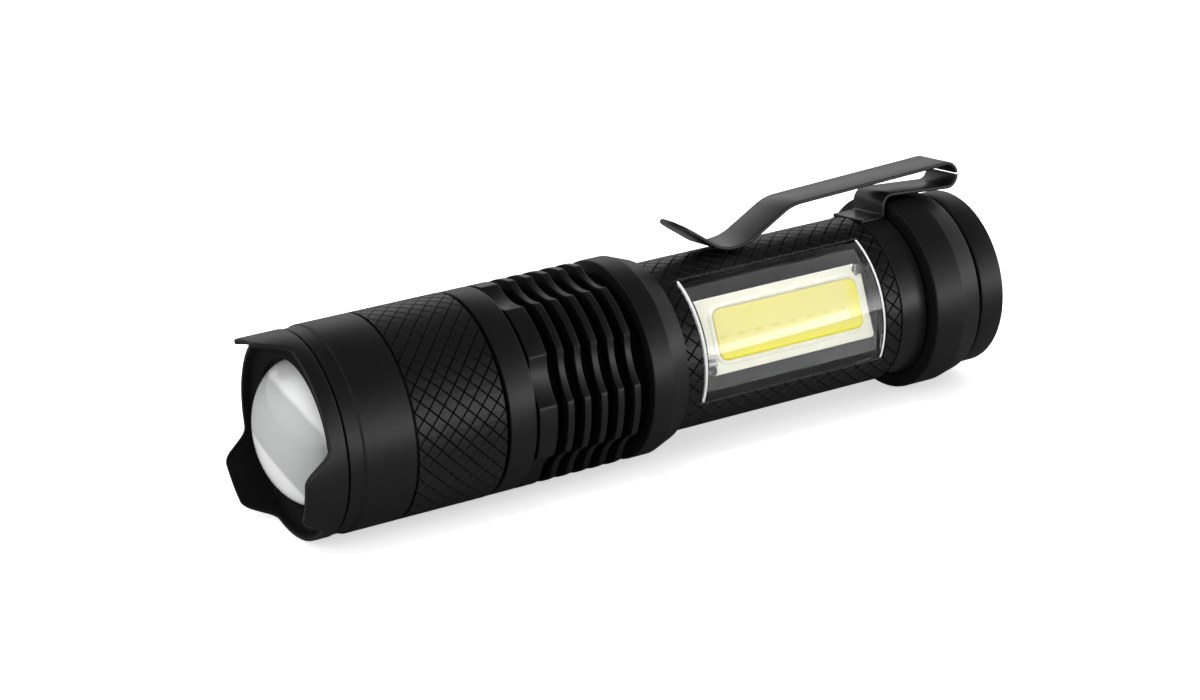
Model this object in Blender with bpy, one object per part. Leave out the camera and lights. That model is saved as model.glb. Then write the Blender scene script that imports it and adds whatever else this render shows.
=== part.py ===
"""Pocket flashlight with a sliding zoom head, a side work light, a tail switch and a pocket clip.

Units are metres, +Z is up. The flashlight lies on its side with its axis along X, lens towards -X.
Stations along the axis are counted from the front face of the finned body, where the zoom head stops.
Angles round the axis are counted from the top (+Z) towards the side that carries the work light (-Y).
"""
import math

import bmesh
import bpy
import numpy as np
from mathutils import Matrix, Vector

MM = 0.001

# Battery, which sets the bore and the length of the body.
CELL_DIAMETER = 14.5 * MM
CELL_LENGTH = 50.5 * MM
CELL_CLEARANCE = 0.35 * MM
CELL_CAP_DIAMETER = 5.5 * MM
CELL_CAP_HEIGHT = 1.0 * MM

# Clearances between pieces.
SLIP = 0.25 * MM
SEAT = 0.3 * MM
BOND = 0.1 * MM

# Steps of the turned body, outwards from the battery bore.
FLAT_WALL = 0.4 * MM
WINDOW_DEPTH = 3.69 * MM
SHOULDER = 2.06 * MM
SINK_RELIEF = 0.05 * MM
EDGE = 0.4 * MM

# Finned part of the body.
FRONT_RING_LENGTH = 3.8 * MM
RING_GROOVE_WIDTH = 0.4 * MM
RING_GROOVE_DEPTH = 0.7 * MM
BLOCK_LENGTH = 2.7 * MM
FIN_COUNT = 5
FIN_PITCH = 2.5 * MM
FIN_THICKNESS = 1.0 * MM
FIN_GROOVE_DEPTH = 2.1 * MM
REAR_GROOVE_WIDTH = 2.1 * MM
REAR_RING_LENGTH = 3.0 * MM
REAR_CONE_LENGTH = 3.0 * MM
REAR_CONE_DROP = 1.1 * MM
SCALLOP_COUNT = 6
SCALLOP_ANGLE = math.radians(28)
SCALLOP_DEPTH = 1.1 * MM
SCALLOP_CENTRE = math.radians(66.5)

# Neck under the zoom head, and the LED holder screwed into it.
NECK_LENGTH = 12.7 * MM
NECK_STEP = 0.7 * MM
NECK_WALL = 1.7 * MM
STOP_FLANGE_LENGTH = 3.0 * MM
HOLDER_DEPTH = 19.0 * MM
HOLDER_FACE = 4.5 * MM
HOLDER_WALL = 1.25 * MM
DRIVER_STEP = 0.5 * MM
DRIVER_RECESS = 1.7 * MM
DRIVER_BOARD_THICKNESS = 1.0 * MM
LEAD_ROOM = 2.4 * MM
DRIVER_SPRING_LENGTH = 7.3 * MM

# Zoom head.
ZOOM_TRAVEL = 9.5 * MM
STOP_SPARE = 0.5 * MM
HEAD_WALL = 1.85 * MM
HEAD_GAP = 0.5 * MM
KNURL_BAND = 12.8 * MM
KNURL_GROOVE = 0.3 * MM
HEAD_SMOOTH = 9.4 * MM
HEAD_LAND = 1.9 * MM
HEAD_LAND_DROP = 0.25 * MM
LENS_SEAT = 1.2 * MM
LENS_SEAT_WIDTH = 0.9 * MM

# Lens, its gasket and the crown.
LENS_MARGIN = 3.15 * MM
LENS_FLANGE = 1.3 * MM
LENS_FLANGE_WIDTH = 0.8 * MM
LENS_DOME = 6.65 * MM
GASKET_THICKNESS = 0.8 * MM
CROWN_RELIEF = 0.15 * MM
CROWN_WALL = 0.75 * MM
CROWN_LENGTH = 2.15 * MM
CROWN_LIP = 0.8 * MM
CROWN_SPIGOT_WALL = 1.15 * MM
PETAL_COUNT = 3
PETAL_HEIGHT = 3.65 * MM
PETAL_CENTRE = math.radians(104)
PETAL_TIP_ANGLE = math.radians(30)
PETAL_FLANK_ANGLE = math.radians(12)

# Emitter.
STAR_DIAMETER = 16.0 * MM
STAR_THICKNESS = 1.2 * MM
EMITTER_SIDE = 3.45 * MM
EMITTER_THICKNESS = 0.7 * MM
EMITTER_DOME = 1.3 * MM
INSULATOR_DIAMETER = 16.4 * MM
INSULATOR_HOLE = 5.8 * MM
INSULATOR_THICKNESS = 0.9 * MM

# Parts on the driver board.
CHIP_SIZE = (1.6 * MM, 4.9 * MM, 3.9 * MM)
CHIP_OFFSET = 3.2 * MM
COIL_DIAMETER = 4.2 * MM
COIL_HEIGHT = 3.0 * MM
COIL_OFFSET = -3.4 * MM

# Side work light on a flat milled along the barrel.
WINDOW_CENTRE = math.radians(65.75)
WINDOW_MARGIN_FRONT = 2.9 * MM
WINDOW_MARGIN_REAR = 2.35 * MM
COVER_WALL = 1.0 * MM
STRIP_BOARD_GAP = 0.7 * MM
STRIP_BOARD_THICKNESS = 0.8 * MM
PHOSPHOR_FRONT = 2.3 * MM
PHOSPHOR_REAR = 1.6 * MM
PHOSPHOR_MARGIN = 1.69 * MM
PHOSPHOR_THICKNESS = 0.4 * MM
LEAD_DIAMETER = 0.7 * MM
LEAD_SPACING = 0.85 * MM
LEAD_HEIGHT = 0.6 * MM
LEAD_HOLE_RADIUS = 1.1 * MM
LEAD_PAD = 1.3 * MM

# Tail end of the barrel and the tail cap.
CELL_TAIL_ROOM = 6.0 * MM
TAIL_THREAD = 3.0 * MM
COLLAR_GROOVE = 4.75 * MM
COLLAR_GROOVE_DEPTH = 0.6 * MM
THREAD_STEP = 0.4 * MM
CAP_LENGTH = 12.4 * MM
CAP_STRAIGHT = 4.5 * MM
CAP_CONE = 3.3 * MM
CAP_CONE_DROP = 0.75 * MM
CAP_GROOVE = 0.6 * MM
CAP_GROOVE_DEPTH = 0.8 * MM
CAP_REAR_DROP = 1.35 * MM
CAP_END_WALL = 1.3 * MM
BUTTON_HOLE_DIAMETER = 11.2 * MM
SWITCH_CHAMBER_DIAMETER = 17.8 * MM
RETAINER_THICKNESS = 1.0 * MM
RETAINER_HOLE = 12.4 * MM
SWITCH_BOARD_THICKNESS = 1.0 * MM
SWITCH_SIDE = 7.6 * MM
PLUNGER_DIAMETER = 4.4 * MM
PLUNGER_REACH = 1.45 * MM
BUTTON_TRAVEL = 1.1 * MM
BUTTON_RECESS = 0.4 * MM
BUTTON_THICKNESS = 1.15 * MM
BUTTON_CROWN = 0.25 * MM
BOOT_FLANGE = 1.0 * MM
BOOT_CLEARANCE = 0.2 * MM

# O-rings and contact springs.
O_RING_SECTION = 1.2 * MM
O_RING_GROOVE = 1.5 * MM
SPRING_WIRE = 0.7 * MM
SPRING_TURNS = 4
SPRING_POINTS = 10
SPRING_END_TOP = 2.6 * MM
SPRING_END_BASE = 4.2 * MM
LEAST_SPRING_GAP = 0.4 * MM

# Pocket clip.
CLIP_ANGLE = math.radians(-10)
CLIP_WIDTH = 7.0 * MM
CLIP_THICKNESS = 0.5 * MM
CLIP_RUN = 0.2 * MM
COLLAR_HALF_ANGLE = math.radians(147)
CLIP_TOUCH = 0.12 * MM
RISER_ROOT = 1.7 * MM
LEG_BEND = 0.55 * MM
LEG_SLOPE = math.radians(4.3)
LOOP_HEIGHT = 3.85 * MM
LOOP_INSET = 0.05 * MM
LOOP_CUT = 0.4 * MM
ARM_SLOPE = math.radians(2)
RAMP_ANGLE = math.radians(28)
RAMP_RADIUS = 7.0 * MM
BELLY_RADIUS = 8.0 * MM
BELLY_REACH = 38.0 * MM
CURL_RADIUS = 5.5 * MM
TIP_ANGLE = math.radians(36)
TIP_LENGTH = 6.4 * MM
TIP_ROUND = 3.0 * MM

# Facets round each kind of piece, and steps along curved outlines.
BODY_FACETS = 48
CROWN_FACETS = 60
INNER_FACETS = 32
SMALL_FACETS = 24
RING_FACETS = 8
COLLAR_STEPS = 40
WINDOW_STEPS = 16
CURVE_STEPS = 10
BEND_STEPS = 5
SMOOTH_ANGLE = math.radians(32)
MERGE = 1e-4 * MM

# Radii that follow from the sizes above.
BORE_R = CELL_DIAMETER / 2 + CELL_CLEARANCE
FLAT_HEIGHT = BORE_R + FLAT_WALL
BARREL_R = FLAT_HEIGHT + WINDOW_DEPTH
BODY_R = BARREL_R + SHOULDER
SINK_R = BODY_R - SINK_RELIEF
FIN_ROOT_R = SINK_R - FIN_GROOVE_DEPTH
COVER_BORE_R = BARREL_R - COVER_WALL
HEAD_BORE_R = BODY_R - HEAD_WALL
STOP_R = HEAD_BORE_R - SLIP
NECK_R = STOP_R - NECK_STEP
NECK_BORE_R = NECK_R - NECK_WALL
HOLDER_R = NECK_BORE_R - SLIP
HOLDER_RECESS_R = HOLDER_R - HOLDER_WALL
DRIVER_R = HOLDER_RECESS_R - SLIP
LENS_R = BODY_R - LENS_MARGIN
CROWN_R = BODY_R - CROWN_RELIEF
CROWN_BORE_R = CROWN_R - CROWN_WALL
CROWN_SPIGOT_IN_R = LENS_R + SLIP
CROWN_SPIGOT_R = CROWN_SPIGOT_IN_R + CROWN_SPIGOT_WALL
COLLAR_SEAT_R = BARREL_R - COLLAR_GROOVE_DEPTH
THREAD_R = COLLAR_SEAT_R - THREAD_STEP
CHAMBER_R = SWITCH_CHAMBER_DIAMETER / 2
BUTTON_HOLE_R = BUTTON_HOLE_DIAMETER / 2
AXIS_HEIGHT = BODY_R * math.cos(math.pi / BODY_FACETS)

# Heights over the axis and sides of the work light's pieces, in its own turned frame.
COVER_BASE = FLAT_HEIGHT + SLIP
STRIP_BOARD_TOP = COVER_BASE + STRIP_BOARD_THICKNESS
STRIP_BOARD_HALF = math.sqrt(COVER_BORE_R ** 2 - STRIP_BOARD_TOP ** 2) - STRIP_BOARD_GAP
LEAD_PAD_HEIGHT = STRIP_BOARD_TOP + BOND + LEAD_DIAMETER / 2
LEAD_REACH = COVER_BORE_R - SLIP - LEAD_DIAMETER / 2
LEAD_SIDE = LEAD_SPACING / 2 - math.sqrt(LEAD_REACH ** 2 - LEAD_PAD_HEIGHT ** 2)
LEAD_HOLE_HEIGHT = FLAT_HEIGHT + LEAD_HEIGHT

# Stations along the axis.
BLOCK_FRONT = FRONT_RING_LENGTH + RING_GROOVE_WIDTH
BLOCK_REAR = BLOCK_FRONT + BLOCK_LENGTH
LAST_FIN_REAR = BLOCK_REAR + FIN_PITCH * FIN_COUNT
REAR_RING_FRONT = LAST_FIN_REAR + REAR_GROOVE_WIDTH
REAR_CONE_FRONT = REAR_RING_FRONT + REAR_RING_LENGTH
SINK_REAR = REAR_CONE_FRONT + REAR_CONE_LENGTH
NECK_FRONT = -NECK_LENGTH
FLANGE_REAR = NECK_FRONT - SEAT
FLANGE_FRONT = FLANGE_REAR - STOP_FLANGE_LENGTH
HOLDER_REAR = NECK_FRONT + HOLDER_DEPTH
BORE_FRONT = HOLDER_REAR + LEAD_ROOM
DRIVER_REAR = HOLDER_REAR - DRIVER_RECESS + SEAT + DRIVER_BOARD_THICKNESS
DRIVER_FRONT = DRIVER_REAR - DRIVER_BOARD_THICKNESS
CELL_FRONT = DRIVER_REAR + SEAT + DRIVER_SPRING_LENGTH + SEAT
CELL_REAR = CELL_FRONT + CELL_LENGTH
BARREL_REAR = CELL_REAR + CELL_TAIL_ROOM
CAP_FRONT = BARREL_REAR - TAIL_THREAD
COLLAR_REAR = CAP_FRONT - SEAT
COLLAR_FRONT = CAP_FRONT - COLLAR_GROOVE
CAP_REAR = CAP_FRONT + CAP_LENGTH
WINDOW_FRONT = SINK_REAR + WINDOW_MARGIN_FRONT
WINDOW_REAR = COLLAR_FRONT - WINDOW_MARGIN_REAR
HEAD_REAR = -HEAD_GAP
KNURL_FRONT = HEAD_REAR - KNURL_BAND
HEAD_FRONT = KNURL_FRONT - HEAD_SMOOTH
LIP_FRONT = FLANGE_REAR + ZOOM_TRAVEL + STOP_SPARE
CROWN_REAR = HEAD_FRONT - SEAT
CROWN_RIM = CROWN_REAR - CROWN_LENGTH
CROWN_TIP = CROWN_RIM - PETAL_HEIGHT
LIP_REAR = CROWN_REAR - SEAT
GASKET_REAR = LIP_REAR + SEAT + GASKET_THICKNESS
LENS_FLANGE_FRONT = GASKET_REAR + SEAT
LENS_REAR = LENS_FLANGE_FRONT + LENS_FLANGE
SEAT_FRONT = LENS_REAR + SEAT
SEAT_REAR = SEAT_FRONT + LENS_SEAT
CHAMBER_FRONT = BARREL_REAR + SLIP
CHAMBER_REAR = CAP_REAR - CAP_END_WALL
RETAINER_FRONT = CHAMBER_FRONT + SLIP
SWITCH_BOARD_FRONT = RETAINER_FRONT + RETAINER_THICKNESS + SEAT
SWITCH_FRONT = SWITCH_BOARD_FRONT + SWITCH_BOARD_THICKNESS + BOND
BOOT_REAR = CHAMBER_REAR - SEAT
BOOT_FRONT = BOOT_REAR - BOOT_FLANGE
SWITCH_REAR = BOOT_FRONT - BOOT_CLEARANCE
BUTTON_REAR = CAP_REAR - BUTTON_RECESS
BUTTON_FRONT = BUTTON_REAR - BUTTON_THICKNESS
MIDDLE = (CROWN_TIP + CAP_REAR) / 2


def clear_scene():
    for thing in list(bpy.data.objects):
        bpy.data.objects.remove(thing, do_unlink=True)


def finish(name, colour, roughness, metallic=0.0, alpha=1.0):
    """A plain Principled material in the piece's own colour."""
    material = bpy.data.materials.new(name)
    material.use_nodes = True
    shader = material.node_tree.nodes["Principled BSDF"]
    shader.inputs["Base Color"].default_value = (*colour, 1.0)
    shader.inputs["Roughness"].default_value = roughness
    shader.inputs["Metallic"].default_value = metallic
    shader.inputs["Alpha"].default_value = alpha
    material.diffuse_color = (*colour, alpha)
    return material


def assembly(name, location, angle=0.0, parent=None):
    """An empty on a joint's axis that carries the pieces of one moving group."""
    empty = bpy.data.objects.new(name, None)
    empty.empty_display_size = 5 * MM
    empty.location = location
    empty.rotation_euler = (angle, 0.0, 0.0)
    empty.parent = parent
    bpy.context.scene.collection.objects.link(empty)
    return empty


def add_object(name, mesh, parent, material=None, offset=(0.0, 0.0, 0.0)):
    piece = bpy.data.objects.new(name, mesh)
    piece.parent = parent
    piece.location = offset
    if material is not None:
        mesh.materials.append(material)
        mesh.shade_smooth()
        mesh.set_sharp_from_angle(angle=SMOOTH_ANGLE)
    bpy.context.scene.collection.objects.link(piece)
    return piece


def mesh_of(name, bm):
    bmesh.ops.recalc_face_normals(bm, faces=bm.faces)
    mesh = bpy.data.meshes.new(name)
    bm.to_mesh(mesh)
    bm.free()
    return mesh


def spun(outline, facets, closed=True, phase=0.5):
    """A bmesh turned about X from (station, radius) points; a facet, not an edge, faces straight down."""
    bm = bmesh.new()
    angle = 2 * math.pi * phase / facets
    corners = [bm.verts.new((x, -r * math.sin(angle), r * math.cos(angle))) for x, r in outline]
    pairs = list(zip(corners, corners[1:]))
    if closed:
        pairs.append((corners[-1], corners[0]))
    edges = [bm.edges.new(pair) for pair in pairs]
    bmesh.ops.spin(bm, geom=corners + edges, cent=(0, 0, 0), axis=(1, 0, 0),
                   angle=2 * math.pi, steps=facets, use_merge=True)
    bmesh.ops.remove_doubles(bm, verts=bm.verts, dist=MERGE)
    return bm


def turned(name, outline, facets, parent, material, closed=True):
    return add_object(name, mesh_of(name, spun(outline, facets, closed)), parent, material)


def ring_outline(front, rear, inner, outer):
    return [(front, inner), (front, outer), (rear, outer), (rear, inner)]


def disc_outline(front, rear, radius):
    return [(front, 0.0), (front, radius), (rear, radius), (rear, 0.0)]


def prism(outline, front, rear):
    """A bmesh of a closed outline of (side, height) points, drawn out along X from front to rear."""
    bm = bmesh.new()
    face = bm.faces.new([bm.verts.new((front, side, height)) for side, height in outline])
    moved = bmesh.ops.extrude_face_region(bm, geom=[face])
    walls = [v for v in moved["geom"] if isinstance(v, bmesh.types.BMVert)]
    bmesh.ops.translate(bm, verts=walls, vec=(rear - front, 0, 0))
    return bm


def rectangle(side_low, side_high, low, high):
    return [(side_low, low), (side_high, low), (side_high, high), (side_low, high)]


def cutter(name, mesh, parent, offset=(0.0, 0.0, 0.0)):
    tool = add_object(name, mesh, parent, offset=offset)
    tool.hide_render = True
    tool.display_type = "WIRE"
    return tool


def boolean(piece, tool, operation="DIFFERENCE"):
    modifier = piece.modifiers.new(tool.name, "BOOLEAN")
    modifier.operation = operation
    modifier.object = tool


def o_ring(name, station, outer, parent, material):
    """A rubber ring of round section whose outside has the given radius."""
    half = O_RING_SECTION / 2
    turns = [2 * math.pi * k / RING_FACETS for k in range(RING_FACETS)]
    outline = [(station + half * math.cos(a), outer - half + half * math.sin(a)) for a in turns]
    return turned(name, outline, INNER_FACETS, parent, material)


def tube(name, points, diameter, parent, material):
    """A round wire along the points, as one unbroken tube with closed ends."""
    curve = bpy.data.curves.new(name, "CURVE")
    curve.dimensions = "3D"
    curve.bevel_depth = diameter / 2
    curve.bevel_resolution = 1
    curve.use_fill_caps = True
    curve.materials.append(material)
    spline = curve.splines.new("POLY")
    spline.points.add(len(points) - 1)
    for target, point in zip(spline.points, points):
        target.co = (*point, 1.0)
    wire = bpy.data.objects.new(name, curve)
    wire.parent = parent
    bpy.context.scene.collection.objects.link(wire)
    return wire


def contact_spring(name, base, top, parent, material):
    """A conical contact spring that stands on its wide base, with its turns' least gap printed."""
    count = SPRING_TURNS * SPRING_POINTS
    inset = math.copysign(SPRING_WIRE / 2, top - base)
    first, last = base + inset, top - inset
    points = []
    for k in range(count + 1):
        share = k / count
        angle = 2 * math.pi * k / SPRING_POINTS
        radius = SPRING_END_BASE + (SPRING_END_TOP - SPRING_END_BASE) * share
        station = first + (last - first) * share
        points.append(Vector((station, radius * math.sin(angle), radius * math.cos(angle))))
    gap = least_gap(points)
    print(f"{name}: least gap between turns {gap / MM:.2f} mm")
    if gap < LEAST_SPRING_GAP:
        raise ValueError(f"{name}: its turns are too close")
    return tube(name, points, SPRING_WIRE, parent, material)


def least_gap(points):
    """The least distance between wire surfaces of turns that are at least half a turn apart."""
    half_turn = SPRING_POINTS // 2
    places = np.array(points)
    gaps = []
    for k in range(len(places) - half_turn):
        gaps.append(np.linalg.norm(places[k + half_turn:] - places[k], axis=1).min())
    return min(gaps) - SPRING_WIRE


def arc(centre, radius, start, stop, steps):
    """Points on an arc in the (station, height) plane, both ends included."""
    turns = np.linspace(start, stop, steps + 1)
    return [(centre[0] + radius * math.cos(a), centre[1] + radius * math.sin(a)) for a in turns]


def strip(path, half_width, rounded_end=0.0):
    """A bmesh of flat spring strip bent along a path of (station, height) points."""
    places = np.array(path)
    along = np.gradient(places, axis=0)
    along /= np.linalg.norm(along, axis=1)[:, None]
    across = np.column_stack([-along[:, 1], along[:, 0]]) * CLIP_THICKNESS / 2
    left = np.linalg.norm(np.diff(places, axis=0), axis=1)[::-1].cumsum()[::-1]
    bm = bmesh.new()
    rows = []
    for k, (place, normal) in enumerate(zip(places, across)):
        to_end = left[k] if k < len(left) else 0.0
        half = half_width
        if to_end < rounded_end:
            half -= rounded_end - math.sqrt(rounded_end ** 2 - (rounded_end - to_end) ** 2)
        top, under = place + normal, place - normal
        corners = [(top, -half), (top, half), (under, half), (under, -half)]
        rows.append([bm.verts.new((p[0], side, p[1])) for p, side in corners])
    for row, following in zip(rows, rows[1:]):
        for k in range(4):
            bm.faces.new((row[k], row[(k + 1) % 4], following[(k + 1) % 4], following[k]))
    bm.faces.new(rows[0])
    bm.faces.new(rows[-1])
    return bm


def barrel_outline():
    """The turned body from the neck to the tail thread, and back along the bore."""
    outside = [(NECK_FRONT, NECK_R), (0.0, NECK_R), (0.0, SINK_R - EDGE), (EDGE, SINK_R)]
    groove_r = SINK_R - RING_GROOVE_DEPTH
    outside += [(FRONT_RING_LENGTH, SINK_R), (FRONT_RING_LENGTH, groove_r)]
    outside += [(BLOCK_FRONT, groove_r), (BLOCK_FRONT, SINK_R)]
    outside += [(BLOCK_REAR, SINK_R), (BLOCK_REAR, FIN_ROOT_R)]
    for k in range(FIN_COUNT):
        rear = BLOCK_REAR + FIN_PITCH * (k + 1)
        front = rear - FIN_THICKNESS
        outside += [(front, FIN_ROOT_R), (front, SINK_R), (rear, SINK_R), (rear, FIN_ROOT_R)]
    outside += [(REAR_RING_FRONT, FIN_ROOT_R), (REAR_RING_FRONT, SINK_R), (REAR_CONE_FRONT, SINK_R)]
    outside += [(SINK_REAR, SINK_R - REAR_CONE_DROP), (SINK_REAR, BARREL_R)]
    outside += [(COLLAR_FRONT, BARREL_R), (COLLAR_FRONT, COLLAR_SEAT_R)]
    outside += [(COLLAR_REAR, COLLAR_SEAT_R), (COLLAR_REAR, THREAD_R)]
    groove_front = tail_ring_station() - O_RING_GROOVE / 2
    groove_rear = tail_ring_station() + O_RING_GROOVE / 2
    groove_floor = THREAD_R - O_RING_SECTION
    outside += [(groove_front, THREAD_R), (groove_front, groove_floor)]
    outside += [(groove_rear, groove_floor), (groove_rear, THREAD_R), (BARREL_REAR, THREAD_R)]
    inside = [(BARREL_REAR, BORE_R), (BORE_FRONT, BORE_R)]
    inside += [(BORE_FRONT, NECK_BORE_R), (NECK_FRONT, NECK_BORE_R)]
    return outside + inside


def tail_ring_station():
    return (CAP_FRONT + BARREL_REAR) / 2


def scallop_cutters():
    """Six round bars along the axis that mill the scallops into the block and the fins."""
    half = SCALLOP_ANGLE / 2
    cut = SCALLOP_DEPTH - SINK_R * (1 - math.cos(half))
    mill_radius = ((SINK_R * math.sin(half)) ** 2 + cut ** 2) / (2 * cut)
    front = FRONT_RING_LENGTH + RING_GROOVE_WIDTH / 2
    rear = LAST_FIN_REAR + REAR_GROOVE_WIDTH / 2
    reach = SINK_R - SCALLOP_DEPTH + mill_radius
    bm = bmesh.new()
    for k in range(SCALLOP_COUNT):
        angle = SCALLOP_CENTRE + 2 * math.pi * k / SCALLOP_COUNT
        place = Matrix.Rotation(angle, 4, "X") @ Matrix.Translation(((front + rear) / 2, 0, reach))
        place @= Matrix.Rotation(math.pi / 2, 4, "Y")
        bmesh.ops.create_cone(bm, cap_ends=True, segments=INNER_FACETS, radius1=mill_radius,
                              radius2=mill_radius, depth=rear - front, matrix=place)
    return mesh_of("scallop_mill", bm)


def make_barrel(body, window, black):
    barrel = turned("barrel", barrel_outline(), BODY_FACETS, body, black)
    boolean(barrel, cutter("scallop_mill", scallop_cutters(), body))
    flat = prism(rectangle(-BODY_R, BODY_R, FLAT_HEIGHT, BODY_R), WINDOW_FRONT, WINDOW_REAR)
    boolean(barrel, cutter("window_mill", mesh_of("window_mill", flat), window))
    front = HOLDER_REAR + LEAD_ROOM / 2
    drill = spun(disc_outline(front, WINDOW_FRONT + SLIP, LEAD_HOLE_RADIUS), SMALL_FACETS, closed=False)
    at = (0.0, LEAD_SIDE, LEAD_HOLE_HEIGHT)
    boolean(barrel, cutter("lead_drill", mesh_of("lead_drill", drill), window, at))


def make_led_holder(body, aluminium, rubber):
    ring_at = (FLANGE_FRONT + FLANGE_REAR) / 2
    groove_floor = STOP_R - O_RING_SECTION
    cavity_front = FLANGE_FRONT + HOLDER_FACE
    recess_front = HOLDER_REAR - DRIVER_RECESS
    outline = [(FLANGE_FRONT, 0.0), (FLANGE_FRONT, STOP_R)]
    outline += [(ring_at - O_RING_GROOVE / 2, STOP_R), (ring_at - O_RING_GROOVE / 2, groove_floor)]
    outline += [(ring_at + O_RING_GROOVE / 2, groove_floor), (ring_at + O_RING_GROOVE / 2, STOP_R)]
    outline += [(FLANGE_REAR, STOP_R), (FLANGE_REAR, HOLDER_R), (HOLDER_REAR, HOLDER_R)]
    outline += [(HOLDER_REAR, HOLDER_RECESS_R), (recess_front, HOLDER_RECESS_R)]
    cavity_r = HOLDER_RECESS_R - DRIVER_STEP
    outline += [(recess_front, cavity_r), (cavity_front, cavity_r)]
    outline += [(cavity_front, 0.0)]
    turned("led_holder", outline, INNER_FACETS, body, aluminium, closed=False)
    o_ring("zoom_o_ring", ring_at, HEAD_BORE_R - BOND, body, rubber)


def make_emitter(body, white, ceramic, clear):
    star_rear = FLANGE_FRONT - BOND
    star_front = star_rear - STAR_THICKNESS
    star = disc_outline(star_front, star_rear, STAR_DIAMETER / 2)
    turned("led_star_board", star, INNER_FACETS, body, white, closed=False)
    package_rear = star_front - BOND
    package_front = package_rear - EMITTER_THICKNESS
    half = EMITTER_SIDE / 2
    square = prism(rectangle(-half, half, -half, half), package_front, package_rear)
    add_object("led_package", mesh_of("led_package", square), body, ceramic)
    dome_rear = package_front - BOND
    dome = arc((dome_rear, 0.0), EMITTER_DOME, math.pi, math.pi / 2, BEND_STEPS)
    dome[0] = (dome[0][0], 0.0)
    turned("led_dome", dome + [(dome_rear, 0.0)], SMALL_FACETS, body, clear, closed=False)
    ring_front = package_rear - INSULATOR_THICKNESS
    ring = ring_outline(ring_front, package_rear, INSULATOR_HOLE / 2, INSULATOR_DIAMETER / 2)
    turned("led_insulator", ring, INNER_FACETS, body, white)


def make_driver(body, board_green, chip_black, spring_steel):
    board = disc_outline(DRIVER_FRONT, DRIVER_REAR, DRIVER_R)
    turned("driver_board", board, INNER_FACETS, body, board_green, closed=False)
    chip_rear = DRIVER_FRONT - BOND
    height, width, depth = CHIP_SIZE
    chip = prism(rectangle(-width / 2, width / 2, -depth / 2, depth / 2), chip_rear - height, chip_rear)
    add_object("driver_chip", mesh_of("driver_chip", chip), body, chip_black, (0.0, 0.0, CHIP_OFFSET))
    winding = disc_outline(chip_rear - COIL_HEIGHT, chip_rear, COIL_DIAMETER / 2)
    coil = spun(winding, SMALL_FACETS, closed=False)
    add_object("driver_coil", mesh_of("driver_coil", coil), body, chip_black, (0.0, 0.0, COIL_OFFSET))
    contact_spring("driver_spring", DRIVER_REAR + SEAT, CELL_FRONT - SEAT, body, spring_steel)


def make_cell(body, wrap, steel):
    can_front = CELL_FRONT + CELL_CAP_HEIGHT
    radius = CELL_DIAMETER / 2
    can = [(can_front, 0.0), (can_front, radius - EDGE), (can_front + EDGE, radius)]
    can += [(CELL_REAR - EDGE, radius), (CELL_REAR, radius - EDGE), (CELL_REAR, 0.0)]
    turned("cell_can", can, INNER_FACETS, body, wrap, closed=False)
    cap = disc_outline(CELL_FRONT, can_front - BOND, CELL_CAP_DIAMETER / 2)
    turned("cell_positive_cap", cap, SMALL_FACETS, body, steel, closed=False)


def window_section(radius, base):
    """The D-shaped section between a flat at the base height and a round of the given radius."""
    half = math.acos(base / radius)
    turns = np.linspace(-half, half, WINDOW_STEPS + 1)
    return [(radius * math.sin(a), radius * math.cos(a)) for a in turns]


def make_work_light(window, white, phosphor, clear, red, black):
    front, rear = WINDOW_FRONT + SLIP, WINDOW_REAR - SLIP
    inner_front, inner_rear = front + COVER_WALL, rear - COVER_WALL
    shell = mesh_of("strip_cover", prism(window_section(BARREL_R, COVER_BASE), front, rear))
    cover = add_object("strip_cover", shell, window, clear)
    hollow = prism(window_section(COVER_BORE_R, FLAT_HEIGHT), inner_front, inner_rear)
    boolean(cover, cutter("cover_hollow", mesh_of("cover_hollow", hollow), window))
    notch_top = LEAD_PAD_HEIGHT + LEAD_DIAMETER / 2 + SLIP
    notch_sides = LEAD_SIDE - LEAD_HOLE_RADIUS, LEAD_SIDE + LEAD_HOLE_RADIUS
    notch = rectangle(*notch_sides, FLAT_HEIGHT, notch_top)
    passage = prism(notch, front - SLIP, inner_front + SLIP)
    boolean(cover, cutter("cover_notch", mesh_of("cover_notch", passage), window))

    board_front, board_rear = inner_front + SLIP, inner_rear - SLIP
    section = rectangle(-STRIP_BOARD_HALF, STRIP_BOARD_HALF, COVER_BASE, STRIP_BOARD_TOP)
    board = prism(section, board_front, board_rear)
    add_object("strip_board", mesh_of("strip_board", board), window, white)
    glow_half = STRIP_BOARD_HALF - PHOSPHOR_MARGIN
    glow_base = STRIP_BOARD_TOP + BOND
    section = rectangle(-glow_half, glow_half, glow_base, glow_base + PHOSPHOR_THICKNESS)
    glow = prism(section, board_front + PHOSPHOR_FRONT, board_rear - PHOSPHOR_REAR)
    add_object("strip_phosphor", mesh_of("strip_phosphor", glow), window, phosphor)

    half = LEAD_SPACING / 2
    tube("strip_lead_red", lead_path(board_front, -half), LEAD_DIAMETER, window, red)
    tube("strip_lead_black", lead_path(board_front, half), LEAD_DIAMETER, window, black)


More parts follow.
